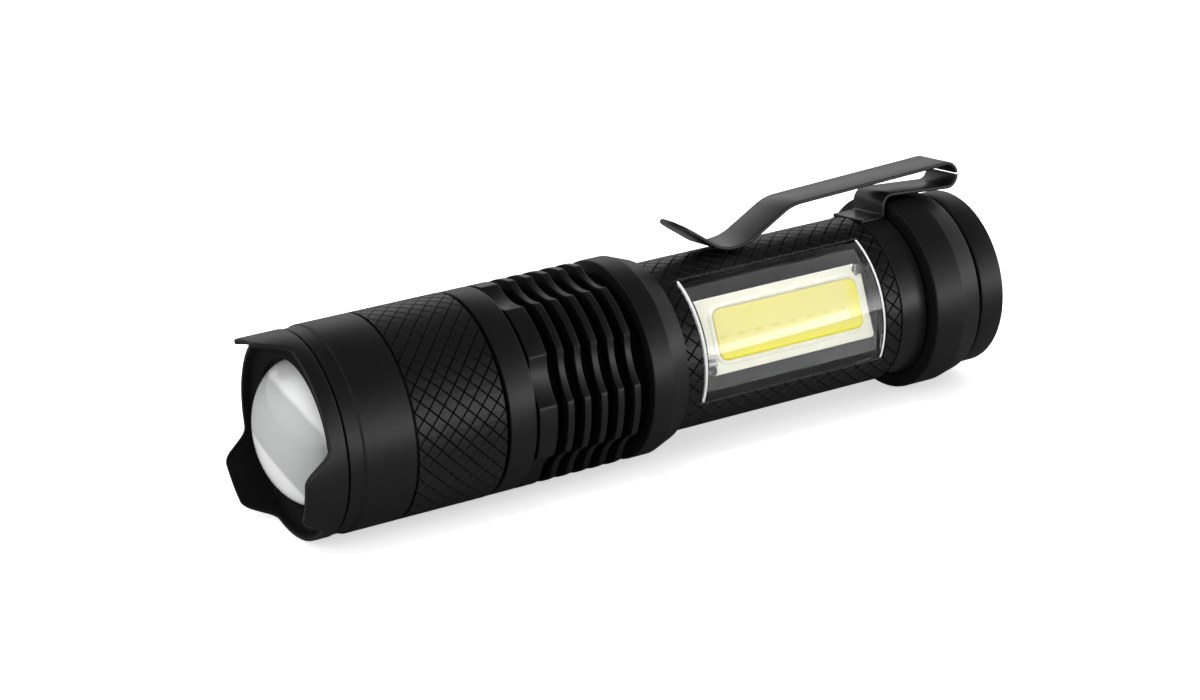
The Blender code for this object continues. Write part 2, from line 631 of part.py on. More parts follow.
def lead_path(board_front, shift):
    """From the board's pad through the drilled channel, then inwards to the back of the driver board."""
    turn_in = HOLDER_REAR + LEAD_ROOM / 2
    driver_share = (DRIVER_R - 2 * LEAD_DIAMETER) / math.hypot(LEAD_SIDE, LEAD_HOLE_HEIGHT)
    half_share = (1 + driver_share) / 2
    path = [(board_front + LEAD_PAD, 1.0, LEAD_PAD_HEIGHT), (board_front, 1.0, LEAD_PAD_HEIGHT)]
    path += [(WINDOW_FRONT - LEAD_HOLE_RADIUS, 1.0, LEAD_HOLE_HEIGHT)]
    path += [(BORE_FRONT, 1.0, LEAD_HOLE_HEIGHT)]
    path += [(turn_in, half_share, LEAD_HOLE_HEIGHT * half_share)]
    path += [(DRIVER_REAR + SEAT + LEAD_DIAMETER / 2, driver_share, LEAD_HOLE_HEIGHT * driver_share)]
    return [Vector((x, LEAD_SIDE * share + shift, z)) for x, share, z in path]


def make_zoom_head(head, black):
    land_r = BODY_R - HEAD_LAND_DROP
    land_rear = HEAD_FRONT + HEAD_LAND
    outline = [(HEAD_FRONT, land_r), (land_rear, land_r), (land_rear + HEAD_LAND_DROP, BODY_R)]
    outline += [(KNURL_FRONT - KNURL_GROOVE, BODY_R), (KNURL_FRONT, BODY_R - KNURL_GROOVE)]
    outline += [(KNURL_FRONT + KNURL_GROOVE, BODY_R)]
    outline += [(HEAD_REAR - EDGE, BODY_R), (HEAD_REAR, BODY_R - EDGE)]
    outline += [(HEAD_REAR, NECK_R + SLIP), (LIP_FRONT, NECK_R + SLIP), (LIP_FRONT, HEAD_BORE_R)]
    seat_in_r = LENS_R - LENS_SEAT_WIDTH
    outline += [(SEAT_REAR, HEAD_BORE_R), (SEAT_REAR, seat_in_r), (SEAT_FRONT, seat_in_r)]
    outline += [(SEAT_FRONT, CROWN_SPIGOT_R + SLIP), (HEAD_FRONT, CROWN_SPIGOT_R + SLIP)]
    turned("zoom_head", outline, BODY_FACETS, head, black)


def dome_radius(depth):
    """Radius of the lens dome at a depth behind its apex; the dome is half an ellipsoid."""
    share = (LENS_DOME - depth) / LENS_DOME
    return (LENS_R - LENS_FLANGE_WIDTH) * math.sqrt(max(0.0, 1 - share ** 2))


def make_lens(head, clear, rubber):
    apex = LENS_FLANGE_FRONT - LENS_DOME
    depths = [LENS_DOME * (1 - math.cos(a)) for a in np.linspace(0, math.pi / 2, CURVE_STEPS)]
    outline = [(apex + depth, dome_radius(depth)) for depth in depths]
    outline += [(LENS_FLANGE_FRONT, LENS_R), (LENS_REAR, LENS_R), (LENS_REAR, 0.0)]
    turned("lens", outline, INNER_FACETS, head, clear, closed=False)
    inner = LENS_R - LENS_FLANGE_WIDTH + SLIP
    gasket = ring_outline(GASKET_REAR - GASKET_THICKNESS, GASKET_REAR, inner, LENS_R)
    turned("lens_gasket", gasket, INNER_FACETS, head, rubber)


def petal_share(angle):
    """How far up a petal the crown's edge stands at an angle: 1 on a tip, 0 between petals."""
    period = 2 * math.pi / PETAL_COUNT
    from_centre = abs((angle - PETAL_CENTRE + period / 2) % period - period / 2)
    share = (from_centre - PETAL_TIP_ANGLE / 2) / PETAL_FLANK_ANGLE
    share = min(1.0, max(0.0, share))
    return 1 - share * share * (3 - 2 * share)


def make_crown(head, black):
    lip_front = LIP_REAR - CROWN_LIP
    lip_r = LENS_R - LENS_FLANGE_WIDTH + SLIP
    spigot_rear = SEAT_FRONT - SEAT
    outline = [(spigot_rear, CROWN_SPIGOT_R), (CROWN_REAR, CROWN_SPIGOT_R), (CROWN_REAR, CROWN_R)]
    outline = outline[::-1] + [(spigot_rear, CROWN_SPIGOT_IN_R), (LIP_REAR, CROWN_SPIGOT_IN_R)]
    outline += [(LIP_REAR, lip_r), (lip_front, lip_r), (lip_front, CROWN_BORE_R)]
    outline += [(CROWN_RIM, CROWN_BORE_R), (CROWN_RIM, CROWN_R)]
    steps_to_petal = PETAL_CENTRE / (2 * math.pi) * CROWN_FACETS
    bm = spun(outline, CROWN_FACETS, phase=steps_to_petal + 0.5)
    for vert in bm.verts:
        if abs(vert.co.x - CROWN_RIM) < MERGE:
            vert.co.x -= PETAL_HEIGHT * petal_share(math.atan2(-vert.co.y, vert.co.z))
    add_object("bezel_crown", mesh_of("bezel_crown", bm), head, black)


def make_tail_cap(cap, black, rubber, body):
    cone_front = CAP_FRONT + CAP_STRAIGHT
    cone_rear = cone_front + CAP_CONE
    groove_rear = cone_rear + CAP_GROOVE
    rear_r = BODY_R - CAP_REAR_DROP
    groove_r = BODY_R - CAP_CONE_DROP - CAP_GROOVE_DEPTH
    outline = [(CAP_FRONT, BODY_R - EDGE), (CAP_FRONT + EDGE, BODY_R), (cone_front, BODY_R)]
    outline += [(cone_rear, BODY_R - CAP_CONE_DROP), (cone_rear, groove_r)]
    outline += [(groove_rear, groove_r), (groove_rear, rear_r), (CAP_REAR - EDGE, rear_r)]
    outline += [(CAP_REAR, rear_r - EDGE), (CAP_REAR, BUTTON_HOLE_R), (CHAMBER_REAR, BUTTON_HOLE_R)]
    outline += [(CHAMBER_REAR, CHAMBER_R), (CHAMBER_FRONT, CHAMBER_R)]
    outline += [(CHAMBER_FRONT, THREAD_R + SLIP), (CAP_FRONT, THREAD_R + SLIP)]
    turned("tail_cap", outline, BODY_FACETS, cap, black)
    o_ring("tail_o_ring", tail_ring_station(), THREAD_R + SLIP - BOND, body, rubber)


def make_switch(cap, button, brass, board_green, plastic, rubber, spring_steel):
    piece_r = CHAMBER_R - SLIP
    retainer_rear = RETAINER_FRONT + RETAINER_THICKNESS
    retainer = ring_outline(RETAINER_FRONT, retainer_rear, RETAINER_HOLE / 2, piece_r)
    turned("switch_retainer", retainer, INNER_FACETS, cap, brass)
    board_rear = SWITCH_BOARD_FRONT + SWITCH_BOARD_THICKNESS
    board = disc_outline(SWITCH_BOARD_FRONT, board_rear, piece_r)
    turned("switch_board", board, INNER_FACETS, cap, board_green, closed=False)
    half = SWITCH_SIDE / 2
    box = prism(rectangle(-half, half, -half, half), SWITCH_FRONT, SWITCH_REAR)
    housing = add_object("switch_housing", mesh_of("switch_housing", box), cap, plastic)
    plunger_rear = BUTTON_FRONT - BOND
    plunger_front = SWITCH_REAR - PLUNGER_REACH
    well_front = plunger_front - BUTTON_TRAVEL - SLIP
    well = disc_outline(well_front, SWITCH_REAR + SEAT, PLUNGER_DIAMETER / 2 + SLIP)
    well_drill = mesh_of("plunger_well", spun(well, SMALL_FACETS, closed=False))
    boolean(housing, cutter("plunger_well", well_drill, cap))
    plunger = disc_outline(plunger_front, plunger_rear, PLUNGER_DIAMETER / 2)
    turned("switch_plunger", plunger, SMALL_FACETS, button, plastic, closed=False)
    cap_r = BUTTON_HOLE_R - SLIP
    flange = ring_outline(BOOT_FRONT, BOOT_REAR, cap_r + SLIP, piece_r)
    turned("boot_flange", flange, INNER_FACETS, cap, rubber)
    shoulder = BUTTON_REAR - BUTTON_CROWN
    pad = [(BUTTON_FRONT, 0.0), (BUTTON_FRONT, cap_r), (shoulder, cap_r)]
    pad += [(BUTTON_REAR, cap_r - 2 * EDGE), (BUTTON_REAR, 0.0)]
    turned("button_boot", pad, INNER_FACETS, button, rubber, closed=False)
    contact_spring("tail_spring", SWITCH_BOARD_FRONT - SEAT, CELL_REAR + SEAT, cap, spring_steel)


def loop_radius():
    return (LOOP_HEIGHT - CLIP_THICKNESS) / 2


def leg_height(station, above):
    """Height at a station of a line parallel to the leg, which clears the edge of the cap's cone."""
    from_edge = CAP_FRONT + CAP_STRAIGHT - station
    clear = CLIP_RUN + CLIP_THICKNESS / 2 + above
    return BODY_R + from_edge * math.tan(LEG_SLOPE) + clear / math.cos(LEG_SLOPE)


def loop_centre():
    station = CAP_REAR - LOOP_INSET - LOOP_HEIGHT / 2
    return station, leg_height(station, loop_radius())


def collar_path():
    """From the collar up the riser, back along the leg and round the lower half of the loop."""
    riser = COLLAR_REAR - CLIP_RUN - CLIP_THICKNESS / 2
    bend = (riser + LEG_BEND, leg_height(riser + LEG_BEND, -LEG_BEND))
    cut = LOOP_CUT / 2 / loop_radius()
    path = [(riser, COLLAR_SEAT_R - RISER_ROOT)]
    path += arc(bend, LEG_BEND, math.pi, math.pi / 2 - LEG_SLOPE, BEND_STEPS)
    return path + arc(loop_centre(), loop_radius(), -math.pi / 2 - LEG_SLOPE, -cut, CURVE_STEPS)


def arm_path():
    """From the loop forwards along the arm, down to the belly and up again to the tip."""
    centre, radius = loop_centre(), loop_radius()
    belly_height = BARREL_R + CLIP_TOUCH + CLIP_THICKNESS / 2
    cut = LOOP_CUT / 2 / radius
    path = arc(centre, radius, cut, math.pi / 2 + ARM_SLOPE, CURVE_STEPS)
    start = path[-1]
    belly_at = CAP_REAR - BELLY_REACH
    arm_sin, arm_cos = math.sin(ARM_SLOPE), math.cos(ARM_SLOPE)
    ramp_sin, ramp_cos = math.sin(RAMP_ANGLE), math.cos(RAMP_ANGLE)
    rise = BELLY_RADIUS * (1 - ramp_cos) + RAMP_RADIUS * (arm_cos - ramp_cos)
    run = BELLY_RADIUS * ramp_sin + RAMP_RADIUS * (ramp_sin - arm_sin)
    slopes = np.array([[arm_sin, ramp_sin], [arm_cos, ramp_cos]])
    straight, _ = np.linalg.solve(slopes, [start[1] - belly_height - rise, start[0] - belly_at - run])
    bend_at = start[0] - straight * arm_cos + RAMP_RADIUS * arm_sin
    bend_height = start[1] - straight * arm_sin - RAMP_RADIUS * arm_cos
    quarter = math.pi / 2
    path += arc((bend_at, bend_height), RAMP_RADIUS, quarter + ARM_SLOPE, quarter + RAMP_ANGLE, BEND_STEPS)
    belly = (belly_at, belly_height + BELLY_RADIUS)
    path += arc(belly, BELLY_RADIUS, RAMP_ANGLE - quarter, -quarter, BEND_STEPS)
    curl = (belly_at, belly_height + CURL_RADIUS)
    path += arc(curl, CURL_RADIUS, -quarter, -quarter - TIP_ANGLE, BEND_STEPS)[1:]
    lengths = [TIP_LENGTH - TIP_ROUND * (1 - math.sin(a)) for a in np.linspace(0, quarter, BEND_STEPS + 1)]
    last = path[-1]
    path += [(last[0] - d * math.cos(TIP_ANGLE), last[1] + d * math.sin(TIP_ANGLE)) for d in lengths]
    return path


def flex_pivot():
    """The point in the loop about which the arm swings as the loop opens."""
    centre = loop_centre()
    return centre[0] + loop_radius() * 2 / math.pi, centre[1]


def make_clip(swivel, flex, steel):
    inner = COLLAR_SEAT_R + CLIP_RUN
    front, rear = COLLAR_FRONT + CLIP_RUN, COLLAR_REAR - CLIP_RUN
    outer = inner + CLIP_THICKNESS
    turns = np.linspace(-COLLAR_HALF_ANGLE, COLLAR_HALF_ANGLE, COLLAR_STEPS + 1)
    outline = [(outer * math.sin(a), outer * math.cos(a)) for a in turns]
    outline += [(inner * math.sin(a), inner * math.cos(a)) for a in turns[::-1]]
    band = mesh_of("clip_collar", prism(outline, front, rear))
    collar = add_object("clip_collar", band, swivel, steel)
    leg = mesh_of("clip_leg", strip(collar_path(), CLIP_WIDTH / 2))
    boolean(collar, cutter("clip_leg", leg, swivel), "UNION")
    seat = spun(disc_outline(front - EDGE, rear + EDGE, inner), BODY_FACETS, closed=False)
    boolean(collar, cutter("collar_bore", mesh_of("collar_bore", seat), swivel))
    pivot_x, pivot_z = flex_pivot()
    arm = [(x - pivot_x, z - pivot_z) for x, z in arm_path()]
    add_object("clip_arm", mesh_of("clip_arm", strip(arm, CLIP_WIDTH / 2, TIP_ROUND)), flex, steel)


def build():
    clear_scene()
    black = finish("black anodised aluminium", (0.02, 0.02, 0.021), 0.42, 0.9)
    bare = finish("bare aluminium", (0.78, 0.78, 0.79), 0.35, 1.0)
    rubber = finish("black rubber", (0.025, 0.025, 0.025), 0.8)
    white = finish("white board", (0.9, 0.9, 0.88), 0.5)
    ceramic = finish("emitter ceramic", (0.9, 0.82, 0.35), 0.5)
    clear = finish("clear plastic", (0.95, 0.96, 0.96), 0.06, 0.0, 0.35)
    phosphor = finish("yellow phosphor", (0.93, 0.83, 0.25), 0.55)
    green = finish("circuit board", (0.05, 0.2, 0.09), 0.5)
    chip = finish("moulded chip", (0.03, 0.03, 0.03), 0.55)
    plastic = finish("switch plastic", (0.06, 0.06, 0.06), 0.5)
    brass = finish("brass", (0.75, 0.58, 0.28), 0.35, 1.0)
    wrap = finish("cell wrap", (0.12, 0.2, 0.34), 0.4)
    steel = finish("nickel steel", (0.7, 0.7, 0.68), 0.3, 1.0)
    clip_steel = finish("black spring steel", (0.018, 0.018, 0.019), 0.28, 0.9)
    red = finish("red lead", (0.55, 0.04, 0.03), 0.5)

    body = assembly("body_axis", (-MIDDLE, 0.0, AXIS_HEIGHT))
    head = assembly("zoom_slide", (0.0, 0.0, 0.0), parent=body)
    cap = assembly("tail_cap_slide", (0.0, 0.0, 0.0), parent=body)
    button = assembly("button_slide", (0.0, 0.0, 0.0), parent=cap)
    window = assembly("work_light", (0.0, 0.0, 0.0), WINDOW_CENTRE, body)
    swivel = assembly("clip_swivel", (0.0, 0.0, 0.0), CLIP_ANGLE, body)
    flex = assembly("clip_flex", (flex_pivot()[0], 0.0, flex_pivot()[1]), parent=swivel)

    make_barrel(body, window, black)
    make_led_holder(body, bare, rubber)
    make_emitter(body, white, ceramic, clear)
    make_driver(body, green, chip, steel)
    make_cell(body, wrap, steel)
    make_work_light(window, white, phosphor, clear, red, chip)
    make_zoom_head(head, black)
    make_lens(head, clear, rubber)
    make_crown(head, black)
    make_tail_cap(cap, black, rubber, body)
    make_switch(cap, button, brass, green, plastic, rubber, steel)
    make_clip(swivel, flex, clip_steel)


build()
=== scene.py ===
"""Looks of a pocket flashlight with a side work light, built round its packed frame."""

import math

import bmesh
import bpy
import numpy as np
from mathutils import Matrix, Vector


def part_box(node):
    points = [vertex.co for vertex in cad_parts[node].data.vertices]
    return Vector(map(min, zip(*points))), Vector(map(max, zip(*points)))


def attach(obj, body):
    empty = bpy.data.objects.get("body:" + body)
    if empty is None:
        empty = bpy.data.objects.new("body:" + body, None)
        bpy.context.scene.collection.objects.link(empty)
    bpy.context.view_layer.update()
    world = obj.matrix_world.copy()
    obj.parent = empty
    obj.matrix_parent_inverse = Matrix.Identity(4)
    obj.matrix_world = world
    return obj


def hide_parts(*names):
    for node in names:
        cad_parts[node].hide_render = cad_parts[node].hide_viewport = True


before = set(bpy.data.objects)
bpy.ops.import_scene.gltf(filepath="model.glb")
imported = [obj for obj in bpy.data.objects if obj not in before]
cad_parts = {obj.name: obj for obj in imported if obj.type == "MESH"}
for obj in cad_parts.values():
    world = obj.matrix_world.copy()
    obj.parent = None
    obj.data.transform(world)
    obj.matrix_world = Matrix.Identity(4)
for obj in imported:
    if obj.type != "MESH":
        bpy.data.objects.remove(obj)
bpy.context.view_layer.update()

bl_info = {
    "name": "Pocket Flashlight Looks",
    "version": (1, 0, 0),
    "blender": (4, 5, 0),
    "location": "View3D > Sidebar > Flashlight",
    "description": "Builds the visible pieces, finishes and studio of a pocket flashlight",
    "category": "Object",
}

MM = 0.001
TURN = 2 * math.pi
CAP_LOW, CAP_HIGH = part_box("tail_cap")
AXIS = (CAP_LOW.z + CAP_HIGH.z) / 2
WELD = 1e-7
LOOK = "look_"


def front(node):
    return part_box(node)[0].x


def rear(node):
    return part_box(node)[1].x


# Sizes and colours


def length(name, millimetres, description):
    return bpy.props.FloatProperty(
        name=name, description=description, default=millimetres * MM, unit="LENGTH", precision=5)


def angle(name, degrees, description):
    return bpy.props.FloatProperty(
        name=name, description=description, default=math.radians(degrees), subtype="ANGLE")


def share(name, value, description):
    return bpy.props.FloatProperty(
        name=name, description=description, default=value, min=0.0, max=1.0, subtype="FACTOR")


def count(name, value, description):
    return bpy.props.IntProperty(name=name, description=description, default=value, min=1)


def colour(name, value, description):
    return bpy.props.FloatVectorProperty(
        name=name, description=description, default=value, size=3, min=0.0, max=1.0, subtype="COLOR")


class HeadSizes(bpy.types.PropertyGroup):
    """Sizes of the sliding head."""

    radius: length("Radius", 13.72, "Outside radius of the head")
    bore: length("Bore", 11.9, "Radius of the bore that slides over the stop flange")
    neck_bore: length("Neck bore", 11.2, "Radius of the rear lip that slides on the neck")
    knurl_band: length("Knurl band", 12.8, "Length of the knurled band at the rear")
    land: length("Land", 1.9, "Length of the lower step at the front")
    land_drop: length("Land drop", 0.25, "How far the front step lies below the outside")
    border: length("Border groove", 0.3, "Width of the turned groove in front of the knurl")
    columns: count("Knurl columns", 38, "Diamonds round the head")
    rows: count("Knurl rows", 6, "Diamonds along the band")
    knurl_depth: length("Knurl depth", 0.16, "Depth of the knurl's grooves")
    knurl_land: share("Knurl land", 0.85, "Share of a diamond's width that is its flat top")
    edge: length("Edge", 0.3, "Rounding of the outer edges")


class CrownSizes(bpy.types.PropertyGroup):
    """Sizes of the bezel crown."""

    radius: length("Radius", 13.6, "Outside radius of the crown")
    wall: length("Wall", 0.75, "Thickness of the petals")
    lip_bore: length("Lip bore", 10.05, "Radius of the opening that the lens dome stands through")
    petal_height: length("Petal height", 3.65, "How far a petal stands in front of the rim")
    petals: count("Petals", 3, "Petals round the crown")
    centre: angle("First petal", 104, "Angle of the first petal from the top")
    tip: angle("Tip", 30, "Angle that a petal's tip spans")
    flank: angle("Flank", 12, "Angle that each flank of a petal spans")
    softness: share("Softness", 0.3, "Rounding of a petal's corners")


class LensSizes(bpy.types.PropertyGroup):
    """Sizes of the domed lens."""

    radius: length("Radius", 10.58, "Radius of the lens flange")
    flange: length("Flange", 1.3, "Thickness of the flange")
    flange_width: length("Flange width", 0.8, "How far the flange stands outside the dome")
    # The slant and the crescent place painted light and painted shade in the lens's colour.
    slant: bpy.props.FloatVectorProperty(
        name="Slant", description="Direction across the edge between the pale and the dim side", size=3,
        subtype="DIRECTION", default=(0.8124, -0.0772, 0.5780))
    slant_from: length("Slant from", 29.626, "Where that edge lies")
    crescent: bpy.props.FloatVectorProperty(
        name="Crescent", description="Direction towards the pale crescent", size=3, subtype="DIRECTION",
        default=(-0.780, 0.157, -0.603))
    crescent_from: length("Crescent from", 34.1, "Where the crescent starts")


class BodySizes(bpy.types.PropertyGroup):
    """Sizes of the turned body with its fins and grip."""

    neck: length("Neck", 12.7, "Length of the neck inside the head")
    neck_radius: length("Neck radius", 10.95, "Radius of the neck")
    radius: length("Sink radius", 13.68, "Outside radius of the rings and fins")
    front_ring: length("Front ring", 3.8, "Length of the plain ring at the front")
    ring_groove: length("Ring groove", 0.4, "Width of the groove behind the front ring")
    ring_groove_depth: length("Ring groove depth", 0.7, "Depth of that groove")
    block: length("Block", 2.7, "Length of the scalloped block")
    fins: count("Fins", 5, "Thin fins behind the block")
    fin_pitch: length("Fin pitch", 2.5, "Distance from fin to fin")
    fin_thickness: length("Fin thickness", 1.0, "Thickness of a fin")
    root: length("Fin root", 11.6, "Radius at the bottom of the fin grooves")
    rear_groove: length("Rear groove", 2.1, "Width of the groove behind the last fin")
    rear_ring: length("Rear ring", 3.0, "Length of the plain rear ring")
    cone: length("Cone", 3.0, "Length of the rear ring's cone")
    cone_drop: length("Cone drop", 1.1, "Drop of radius along the cone")
    scallops: count("Scallops", 6, "Scallops round the fins")
    scallop_centre: angle("Scallop centre", 66.5, "Angle of one scallop from the top")
    scallop_width: angle("Scallop width", 28, "Angle that a scallop spans")
    scallop_depth: length("Scallop depth", 1.1, "Depth of a scallop")
    scallop_soft: length("Scallop softness", 0.035, "Rounding of a scallop's edges")
    grip_radius: length("Grip radius", 11.68, "Radius over the grip's knurl")
    columns: count("Knurl columns", 32, "Diamonds round the grip")
    rows: count("Knurl rows", 15, "Diamonds along the grip")
    knurl_depth: length("Knurl depth", 0.16, "Depth of the knurl's grooves")
    knurl_land: share("Knurl land", 0.85, "Share of a diamond's width that is its flat top")
    collar_groove: length("Collar groove", 4.45, "Width of the groove that the clip's collar turns in")
    collar_seat: length("Collar seat", 11.09, "Radius at the bottom of that groove")
    thread: length("Thread", 10.69, "Outside radius of the tail thread")
    thread_pitch: length("Thread pitch", 0.75, "Pitch of the tail thread")
    bore: length("Bore", 7.6, "Radius of the cell's bore")
    neck_wall: length("Neck wall", 1.7, "Wall of the neck")
    edge: length("Edge", 0.22, "Rounding of the outer edges")


class LightSizes(bpy.types.PropertyGroup):
    """Sizes of the side work light."""

    centre: angle("Centre", 65.75, "Angle of the window from the top")
    flat: length("Flat", 8.0, "Height of the milled flat above the axis")
    base: length("Cover base", 8.25, "Height of the cover's rim above the axis")
    wall: length("Cover wall", 1.0, "Thickness of the cover")
    slip: length("Slip", 0.25, "Clearance round the cover and the board")
    rim: length("Rim", 0.35, "Thickness of the frosted rim at each end of the cover")
    rim_height: length("Rim height", 0.7, "Height of that rim")
    board_half: length("Board half width", 4.99, "Half the width of the board")
    board_top: length("Board top", 9.05, "Height of the board's face above the axis")
    board_corner: length("Board corner", 0.5, "Rounding of the board's corners")
    strip_half: length("Strip half width", 3.3, "Half the width of the phosphor strip")
    strip_corner: length("Strip corner", 1.1, "Rounding of the strip's corners")
    dam: length("Dam", 0.75, "Width of the white dam round the strip")
    post: length("Post", 0.65, "Radius of the cover's two posts")
    post_bite: length("Post bite", 0.9, "Radius of the board's bites for the posts")


class ClipSizes(bpy.types.PropertyGroup):
    """Sizes of the pocket clip."""

    lean: angle("Lean", -10, "Angle of the clip from the top")
    width: length("Width", 7.0, "Width of the strip")
    thickness: length("Thickness", 0.5, "Thickness of the strip")
    edge: length("Edge", 0.14, "Rounding of the strip's edges")
    run: length("Run", 0.2, "Clearance of the collar")
    collar_half: angle("Collar half angle", 147, "Angle from the clip to the collar's ends")
    leg_bend: length("Leg bend", 1.5, "Bend radius of the leg")
    leg_slope: angle("Leg slope", 4.3, "Slope of the leg")
    loop: length("Loop", 3.85, "Height of the loop")
    loop_inset: length("Loop inset", 0.05, "Loop's end in front of the tail face")
    loop_cut: length("Loop cut", 0.27, "Gap in the loop where the arm flexes")
    arm_slope: angle("Arm slope", 2, "Slope of the arm")
    ramp: angle("Ramp", 28, "Slope of the ramp down to the belly")
    ramp_radius: length("Ramp radius", 7.0, "Bend radius at the ramp's top")
    belly_radius: length("Belly radius", 8.0, "Bend radius behind the belly")
    belly_reach: length("Belly reach", 38.0, "Distance of the belly from the tail face")
    curl_radius: length("Curl radius", 5.5, "Bend radius in front of the belly")
    tip: angle("Tip", 36, "Slope of the tip")
    tip_length: length("Tip length", 6.4, "Length of the tip")
    tip_round: length("Tip round", 3.0, "Rounding of the tip")
    touch: length("Touch", 0.12, "Gap between the belly and the grip")


class TailSizes(bpy.types.PropertyGroup):
    """Sizes of the tail cap and its button."""

    straight: length("Straight", 4.5, "Length of the front cylinder")
    cone: length("Cone", 3.3, "Length of the cone")
    cone_drop: length("Cone drop", 0.75, "Drop of radius along the cone")
    groove: length("Groove", 0.8, "Width of the groove behind the cone")
    groove_depth: length("Groove depth", 1.4, "Depth of that groove")
    rear_drop: length("Rear drop", 1.35, "Drop of radius of the rear section")
    end_wall: length("End wall", 1.3, "Thickness of the wall round the button")
    hole: length("Button hole", 5.6, "Radius of the button's hole")
    chamber: length("Chamber", 8.9, "Radius of the switch chamber")
    button: length("Button", 5.35, "Radius of the button")
    ridges: count("Ridges", 3, "Rings moulded on the button")
    edge: length("Edge", 0.3, "Rounding of the outer edges")
    # Painted shade: inside this radius the cap's front face is painted near black where shade falls.
    painted_shade_below: length("Dull below", 11.9, "Radius inside which the front face is dull black")


class FinishColours(bpy.types.PropertyGroup):
    """Colours of the finishes."""

    anodised: colour("Anodised", (0.003, 0.003, 0.0032), "Black anodised aluminium")
    spring: colour("Spring steel", (0.0045, 0.0045, 0.0047), "Gloss black spring steel")
    rubber: colour("Rubber", (0.016, 0.016, 0.016), "Black rubber")
    board: colour("Board", (0.93, 0.92, 0.79), "White board")
    strip: colour("Strip", (0.84, 0.765, 0.28), "Phosphor strip")
    strip_deep: colour("Deep strip", (0.92, 0.84, 0.01), "Phosphor strip at its lower edge and end")
    # Painted light: the pale lens tone stands in for the white board's light seen through the lens; the dim
    # tone is painted shade.
    lens: colour("Lens", (0.58, 0.585, 0.585), "Lens where it gathers the white board's light")
    lens_painted_shade: colour("Dim lens", (0.34, 0.345, 0.345), "Lens where it shows the bore")
    bare: colour("Bare aluminium", (0.78, 0.78, 0.79), "Machined aluminium")
    steel: colour("Steel", (0.7, 0.7, 0.68), "Nickel-plated steel")
    brass: colour("Brass", (0.75, 0.58, 0.28), "Turned brass")
    mask: colour("Solder mask", (0.05, 0.2, 0.09), "Green circuit board")
    wrap: colour("Cell wrap", (0.12, 0.2, 0.34), "Cell's plastic wrap")
    lead: colour("Red lead", (0.55, 0.04, 0.03), "Red lead's insulation")
    ceramic: colour("Emitter", (0.9, 0.82, 0.35), "Emitter's ceramic")


class StudioSettings(bpy.types.PropertyGroup):
    """Camera, lights and floor."""

    place: bpy.props.FloatVectorProperty(
        name="Camera place", description="Where the camera stands", size=3, subtype="TRANSLATION",
        unit="LENGTH", default=(-0.19285, -0.3150, 0.1777))
    look: bpy.props.FloatVectorProperty(
        name="Camera direction", description="Where the camera looks", size=3, subtype="DIRECTION",
        default=(0.4699, 0.7845, -0.4046))
    lens: bpy.props.FloatProperty(
        name="Lens", description="Focal length of the camera", default=90.0, unit="CAMERA")
    ambient: share("Ambient", 0.8, "Light from all round")
    key: bpy.props.FloatProperty(
        name="Key", description="Light that gloss adds low in front, on the right", default=4.4, min=0.0)
    through: bpy.props.FloatProperty(
        name="Through", description="Light that clear plastic lets in", default=1.15, min=0.0)
    horizon: share("Horizon", 1.0, "Light that gloss shows from low all round")
    zenith: share("Zenith", 0.04, "Light that gloss shows from above")
    floor_glow: share("Floor glow", 0.55, "Share of white that the floor shows the camera")
    floor_gloss: share("Floor in gloss", 0.2, "Share of the floor's brightness that gloss shows")
    floor: colour("Floor", (0.86, 0.86, 0.86), "Colour of the floor")


# Nodes and finishes


class Value:
    """A node's output that takes Python arithmetic; each operation adds one Math node."""

    def __init__(self, graph, socket):
        self.graph = graph
        self.socket = socket

    def out(self, name):
        return Value(self.graph, self.socket.node.outputs[name])

    def __add__(self, other):
        return self.graph.math("ADD", self, other)

    def __sub__(self, other):
        return self.graph.math("SUBTRACT", self, other)

    def __rsub__(self, other):
        return self.graph.math("SUBTRACT", other, self)

    def __mul__(self, other):
        return self.graph.math("MULTIPLY", self, other)

    def __truediv__(self, other):
        return self.graph.math("DIVIDE", self, other)

    def __rtruediv__(self, other):
        return self.graph.math("DIVIDE", other, self)

    def __mod__(self, other):
        return self.graph.math("FLOORED_MODULO", self, other)

    __radd__ = __add__
    __rmul__ = __mul__


class Graph:
    """A node tree; node() adds any node from its type, its settings and its sockets."""

    def __init__(self, tree):
        self.tree = tree

    def node(self, kind, settings=(), sockets=(), output=0):
        made = self.tree.nodes.new(kind)
        for name, setting in dict(settings).items():
            setattr(made, name, setting)
        self.feed(made, dict(sockets))
        return Value(self, made.outputs[output]) if made.outputs else made

    def feed(self, made, sockets):
        for key, value in sockets.items():
            if isinstance(value, Value):
                self.tree.links.new(value.socket, made.inputs[key])
            else:
                made.inputs[key].default_value = value

    def math(self, operation, *values):
        return self.node("ShaderNodeMath", {"operation": operation}, enumerate(values))

    def step(self, value, low, high):
        """0 below low, 1 above high and smooth between them."""
        return self.node("ShaderNodeMapRange", {"interpolation_type": "SMOOTHSTEP"},
                         {"Value": value, "From Min": low, "From Max": high})


